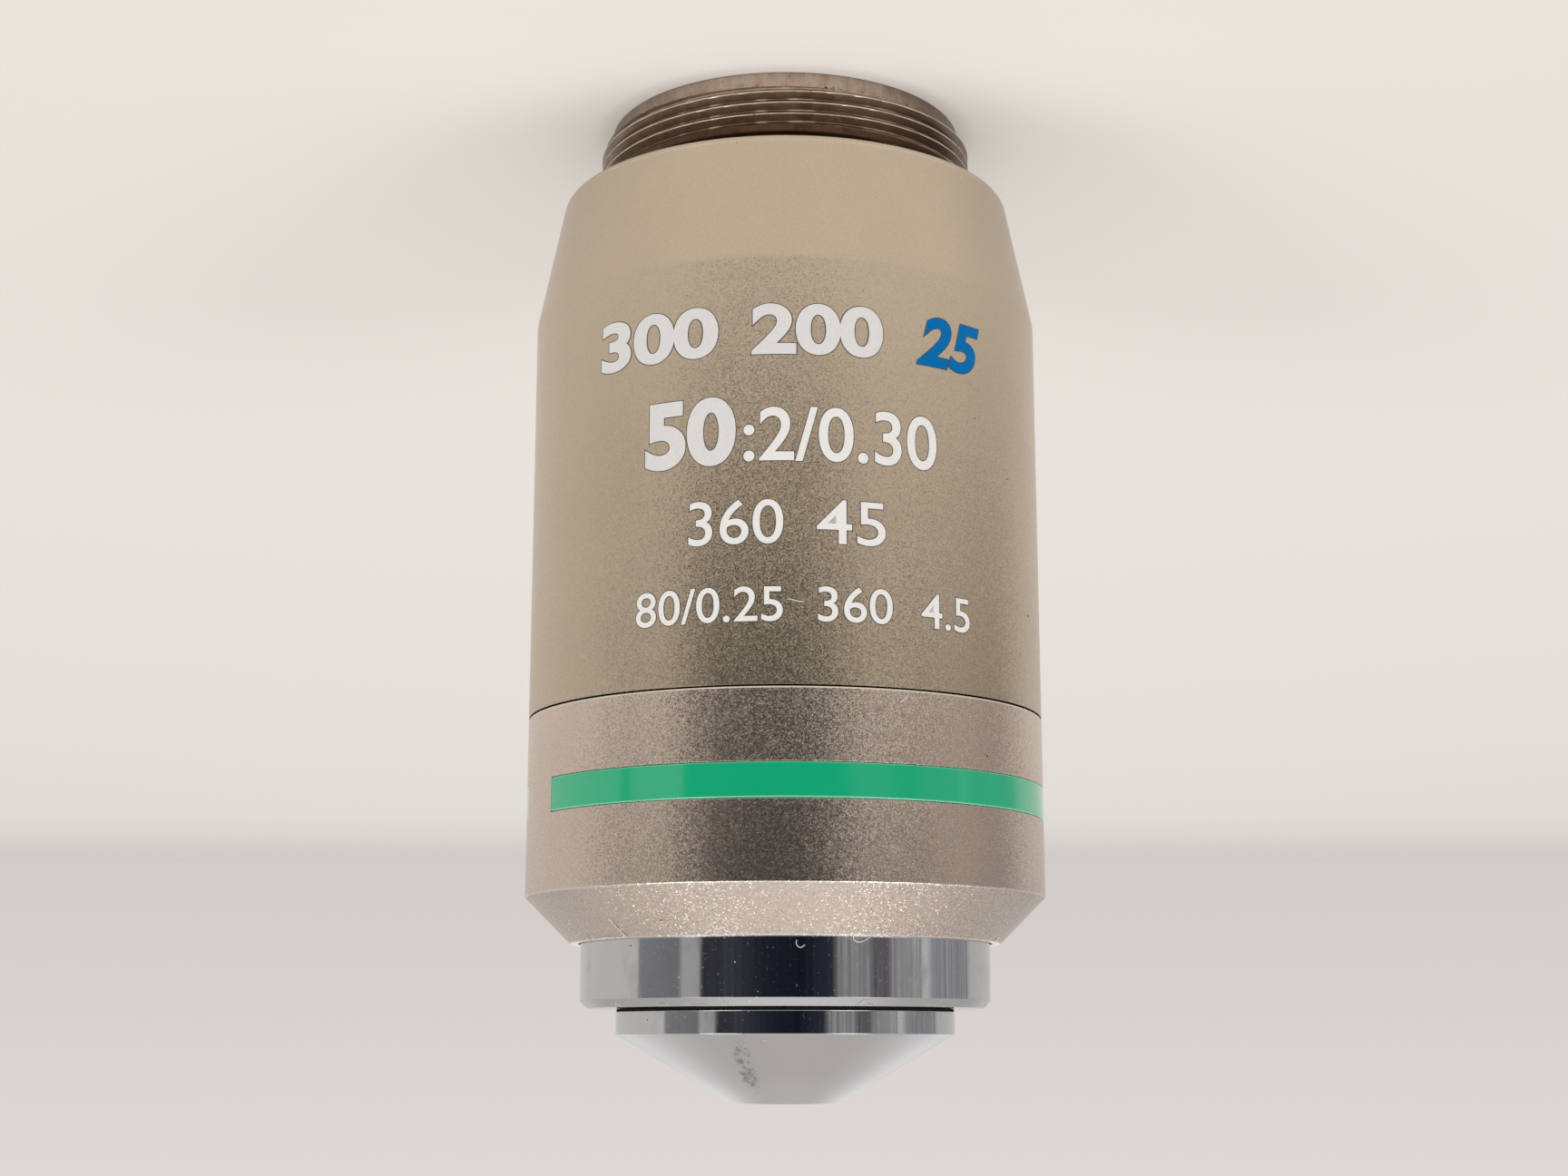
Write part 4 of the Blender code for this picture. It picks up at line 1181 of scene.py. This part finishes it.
def fibres(name, paths, thickness, waviness, material, body):
    """Thin threads with a little waviness, along paths of points in millimetres."""
    curve = bpy.data.curves.new("fibre_paths", "CURVE")
    curve.dimensions = "3D"
    for path in paths:
        spline = curve.splines.new("NURBS")
        spline.points.add(len(path) - 1)
        for point, place in zip(spline.points, path):
            point.co = (*(place * MM), 1.0)
        spline.order_u = 3
        spline.use_endpoint_u = True
    tree = Shape("fibres", {"Thickness": thickness * MM, "Waviness": waviness * MM})
    given = tree.given
    line = tree.node("GeometryNodeResampleCurve", {"Curve": given["Geometry"], "Count": 22})
    inputs = {"Vector": tree.position(), "Scale": 2200.0, "Detail": 1.0}
    swirl = tree.node("ShaderNodeTexNoise", inputs, 1)
    offset = tree.scaled(tree.vector_math("SUBTRACT", swirl, (0.5, 0.5, 0.5)), given["Waviness"])
    wavy = tree.node("GeometryNodeSetPosition", {"Geometry": line, "Offset": offset})
    tube = tree.tube(wavy, given["Thickness"] * 0.5, 5)
    settled(tree.baked(tube, linked("fibre_paths", curve), name, material), body)


def fluff_paths(height, count, draw):
    """Short curled ends of lint round a gap."""
    paths = []
    for _ in range(count):
        degrees = draw.uniform(-180, 180)
        length = draw.uniform(0.8, 3.2)
        rise = draw.uniform(-0.25, 0.25)
        bend = draw.uniform(0.05, 0.22)
        paths.append([
            on_skin(degrees, height, 0.02),
            on_skin(degrees + length * 0.5, height + rise * 0.5 - bend, 0.05),
            on_skin(degrees + length, height + min(rise, 0.05), 0.03),
        ])
    return paths


def dust_and_lint(look):
    draw = random.Random(7)
    lints = (("lint_on_sleeves", LINT_ON_SLEEVES, "barrel"), ("lint_on_ring", LINT_ON_RING, "nose"))
    for name, lint, body in lints:
        paths = [[on_skin(*place, 0.04) for place in path] for path in lint]
        fibres(name, paths, LINT_THICKNESS, LINT_WAVINESS, look["lint"], body)
    for name, height, count, body in FLUFF:
        paths = fluff_paths(height, count, draw)
        fibres(name, paths, FLUFF_THICKNESS, FLUFF_WAVINESS, look["lint"], body)
    for *mark, finish, body in MARKS:
        placed_specks(*mark, look[finish], body)
    places = []
    for _ in range(THREAD_DIRT):
        places.append((draw.uniform(-180, 180), THREAD_REAR - 0.03 - abs(draw.gauss(0.0, 0.1))))
    placed_specks("thread_dirt", places, 0.03, 0.12, 8, look["dirt"], "barrel")
    for *dust, finish, body in DUST:
        scattered_specks(*dust, look[finish], body)


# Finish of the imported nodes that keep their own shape, by the last word of the name. The rest are lenses.

KEPT = {
    "cell": "black", "spacer": "black", "stop": "black", "shim": "brass", "tube": "brass", "barrel": "brass",
    "screw": "steel",
}


def dress_kept_nodes(look):
    for name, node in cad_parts.items():
        if name not in replaced:
            for slot in node.material_slots:
                slot.material = look[KEPT.get(name.split("_")[-1], "glass")]


# Stage: table, studio and camera

CAMERA_PLACE = (0.000076, -0.14515, 0.06052)
CAMERA_PITCH = 11.435
FOCAL_LENGTH = 51.46
LAMP_PLACES = {"lamp_left": (0.52, -0.42, 0.62), "lamp_right": (-0.52, -0.42, 0.62)}
LAMP_SIZE = 0.42
LAMP_POWER = 1.85
LAMP_AIM = (0, 0, 0.03)
TABLE_FAR = 0.632
TABLE_CORNERS = ((-3.0, -2.0, 0), (3.0, -2.0, 0), (3.0, TABLE_FAR, 0), (-3.0, TABLE_FAR, 0))
HORIZON_FROM = 0.445
TABLE_COLOUR = (0.85, 0.81, 0.765)
TABLE_GLOW = (0.8, 0.745, 0.685)
# Brighter painted light on the table close to the object's near side
TABLE_GLOW_NEAR = (0.87, 0.81, 0.745)
TABLE_GLOW_SHARE = 0.4
CONTACT_REACH = 0.0134
FAR_WALL_LOW = (0.637, 0.597, 0.578)
FAR_WALL_HIGH = (0.745, 0.69, 0.665)
WHITE = (1.0, 1.0, 1.0)

# How far out the object mirrors the table, in metres, by direction. Past that it mirrors the room.
TABLE_MIRROR_REACH = 0.6
TABLE_MIRROR = (
    (-180, 0.6), (-75, 0.6), (-73, 0.16), (-70, 0.16), (-68, 0.6), (-44, 0.6), (-42, 0.14), (17, 0.14),
    (27, 0.3), (40, 0.3), (56, 0.22), (76, 0.16), (108, 0.16), (126, 0.6), (180, 0.6),
)

# How much darker the mirrored table is than the table itself, by direction
TABLE_DIMMER = (
    (-180, 0.0), (-125, 0.0), (-110, 0.06), (-50, 0.06), (-30, 0.0), (60, 0.0), (90, 0.11), (115, 0.11),
    (130, 0.0), (180, 0.0),
)

# What the chrome mirrors, by direction
STUDIO = (
    (-180, (0.62, 0.615, 0.605)), (-89, (0.62, 0.6, 0.585)), (-87, (0.25, 0.255, 0.265)),
    (-60, (0.2, 0.2, 0.21)), (-58, (0.44, 0.435, 0.43)), (-48, (0.42, 0.41, 0.4)),
    (-46, (0.035, 0.036, 0.045)), (-30, (0.05, 0.052, 0.065)), (-12, (0.016, 0.02, 0.03)),
    (8, (0.009, 0.012, 0.02)), (26, (0.03, 0.036, 0.05)), (30, (0.3, 0.3, 0.3)),
    (47, (0.27, 0.265, 0.265)), (49, (0.13, 0.125, 0.135)), (58, (0.14, 0.135, 0.145)),
    (61, (0.3, 0.3, 0.305)), (79, (0.38, 0.38, 0.38)), (82, (0.54, 0.54, 0.54)),
    (85, (0.56, 0.56, 0.56)), (88, (0.31, 0.31, 0.325)), (120, (0.3, 0.3, 0.315)),
    (124, (0.54, 0.535, 0.525)), (180, (0.62, 0.615, 0.605)),
)
STREAK_TINTS = ((0.36, (1.06, 0.92, 1.1)), (0.5, WHITE), (0.62, (0.95, 1.04, 0.93)))
CEILING = (0.7, 0.69, 0.68)
CEILING_FROM = 22.0
CEILING_FULL = 48.0
CEILING_LIGHT = (1.02, 1.02, 1.04)
CEILING_LIGHT_WAY = (-0.06, -0.1, 0.99)
SHADE_OF_CAMERA = (1.25, 0.9, 0.6)
BACK_LIGHT = (1.05, 1.05, 1.07)
BACK_LIGHT_WAY = (0.0, 0.88, 0.47)
FRONT_BAR = (1.3, 1.28, 1.25)


def table():
    """Pale table top. What mirrors in the object past its reach is the room."""
    made = Finish("pale_table", TABLE_COLOUR, roughness=0.6, ior=1.4)
    made.stain(made.cloudy(14.0, 3.0) * 0.3, tuple(part * 0.95 for part in TABLE_COLOUR))
    made.done()
    y = made.split(made.place)[1]
    radius = made.radius(made.place)
    by_camera = made.node("ShaderNodeLightPath", output="Is Camera Ray")
    mirrored = made.node("ShaderNodeLightPath", output="Is Glossy Ray")

    def over(share, below, above):
        return made.node("ShaderNodeMixShader", [share, below, above])

    def shining(colour):
        return made.node("ShaderNodeEmission", {"Color": opaque(colour)})

    # Painted light: close to the object on its near side the table glows more and brighter, lifting the
    # object's shadow; right beside the foot it glows less, so the shadow shows more there
    close = made.span(y, -0.016, 0.0, 1.0, 0.0) * made.span(radius, 0.02, 0.065, 1.0, 0.0)
    contact = made.span(radius, PILOT_RADIUS * MM, CONTACT_REACH, 0.55, 1.0)
    share = made.math("MAXIMUM", by_camera, mirrored) * ((TABLE_GLOW_SHARE + close * 0.4) * contact)
    glow = shining(made.mix(close, TABLE_GLOW, TABLE_GLOW_NEAR))
    surface = over(share, Value(made, made.shader.outputs[0]), glow)
    surface = over(made.span(y, HORIZON_FROM, TABLE_FAR) * by_camera, surface, shining(FAR_WALL_LOW))
    dimmer = made.by_direction(made.place, TABLE_DIMMER)
    surface = over(dimmer * mirrored, surface, shining((0.0, 0.0, 0.0)))
    shares = [(degrees, metres / TABLE_MIRROR_REACH) for degrees, metres in TABLE_MIRROR]
    reach_here = made.by_direction(made.place, shares) * TABLE_MIRROR_REACH
    beyond = made.span(radius / reach_here, 0.75, 1.25)
    surface = over(beyond * mirrored, surface, made.node("ShaderNodeBsdfTransparent"))
    made.tree.links.new(surface.socket, made.tree.nodes["Material Output"].inputs["Surface"])

    top = bpy.data.meshes.new("table_top")
    top.from_pydata(TABLE_CORNERS, [], [(0, 1, 2, 3)])
    top.materials.append(made.material)
    linked("table_top", top)


def studio():
    """Plain room: a far wall for the camera, and by direction what lights and mirrors in the object."""
    world = bpy.data.worlds.new("studio")
    bpy.context.scene.world = world
    world.use_nodes = True
    made = Tree(world.node_tree)
    made.tree.nodes.clear()
    way = made.node("ShaderNodeTexCoord", output="Generated")
    _, y, z = made.split(way)
    azimuth = made.bearing(way) / (2 * math.pi) + 0.5
    elevation = made.math("ARCSINE", z) * (180 / math.pi)

    streaks = made.noise(made.join(azimuth * 170, 0.0, 0.0), 1.0, 4.0, 0.75)
    swing = made.span(streaks, 0.3, 0.7, 0.3, 1.75, smooth=False)
    swing = made.join(swing, swing, swing)
    hues = made.noise(made.join(azimuth * 70, 3.0, 0.0), 1.0, 3.0, 0.7)
    striped = made.mix(1.0, swing, made.ramp(hues, STREAK_TINTS), "MULTIPLY")
    right = made.span(azimuth, 0.575, 0.59) * made.span(azimuth, 0.83, 0.85, 1.0, 0.0)
    dark = made.span(azimuth, 0.36, 0.4) * made.span(azimuth, 0.6, 0.62, 1.0, 0.0)
    striped = made.mix(right, WHITE, striped)
    striped = made.mix(dark * 0.8, striped, swing)
    walls = made.mix(1.0, made.by_direction(way, STUDIO), striped, "MULTIPLY")
    shade = made.mix(made.span(elevation, -14, -6, 1.0, 0.0), WHITE, SHADE_OF_CAMERA)
    walls = made.mix(1.0, walls, shade, "MULTIPLY")

    overhead = made.vector_math("DOT_PRODUCT", way, CEILING_LIGHT_WAY, output="Value")
    behind = made.vector_math("DOT_PRODUCT", way, BACK_LIGHT_WAY, output="Value")
    ceiling = made.mix(made.span(overhead, 0.8, 0.97), CEILING, CEILING_LIGHT)
    around = made.mix(made.span(elevation, CEILING_FROM, CEILING_FULL), walls, ceiling)
    around = made.mix(made.span(behind, 0.89, 0.97), around, BACK_LIGHT)
    bar = made.span(elevation, 31, 35) * made.span(elevation, 42, 46, 1.0, 0.0)
    around = made.mix(bar * made.span(y, -0.75, -0.45, 1.0, 0.0), around, FRONT_BAR)
    seen = made.mix(made.span(elevation, -5.0, 3.5, smooth=False), FAR_WALL_LOW, FAR_WALL_HIGH)
    by_camera = made.node("ShaderNodeLightPath", output="Is Camera Ray")
    light = made.node("ShaderNodeBackground", {"Color": made.mix(by_camera, around, seen), "Strength": 1.0})
    leave = made.tree.nodes.new("ShaderNodeOutputWorld")
    made.tree.links.new(light.socket, leave.inputs["Surface"])


def lamps():
    for name, place in LAMP_PLACES.items():
        light = bpy.data.lights.new(name, "AREA")
        light.shape = "DISK"
        light.size = LAMP_SIZE
        light.energy = LAMP_POWER
        lamp = linked(name, light)
        lamp.location = place
        lamp.rotation_euler = (Vector(LAMP_AIM) - Vector(place)).to_track_quat("-Z", "Y").to_euler()


def camera():
    """The photographing camera, held upside down and tilted down to the table."""
    data = bpy.data.cameras.new("camera")
    data.lens = FOCAL_LENGTH
    data.sensor_width = 36.0
    data.clip_start = 0.01
    made = linked("camera", data)
    tilt = Euler((math.radians(90 - CAMERA_PITCH), 0, 0)).to_matrix()
    roll = Matrix.Rotation(math.pi, 3, "Z")
    made.matrix_world = Matrix.Translation(CAMERA_PLACE) @ (tilt @ roll).to_4x4()
    bpy.context.scene.camera = made


def main():
    bpy.context.scene.view_settings.view_transform = "Standard"
    look = finishes()
    for part in (camera, studio, lamps, table):
        part()
    pieces = (
        mount_ring, long_sleeve, short_sleeve, enamel_band, chrome_ring, cone_cap, tip_lens, slotted_ring,
        exit_mount, coil_spring, inscriptions, dust_and_lint, dress_kept_nodes,
    )
    for make in pieces:
        make(look)


main()
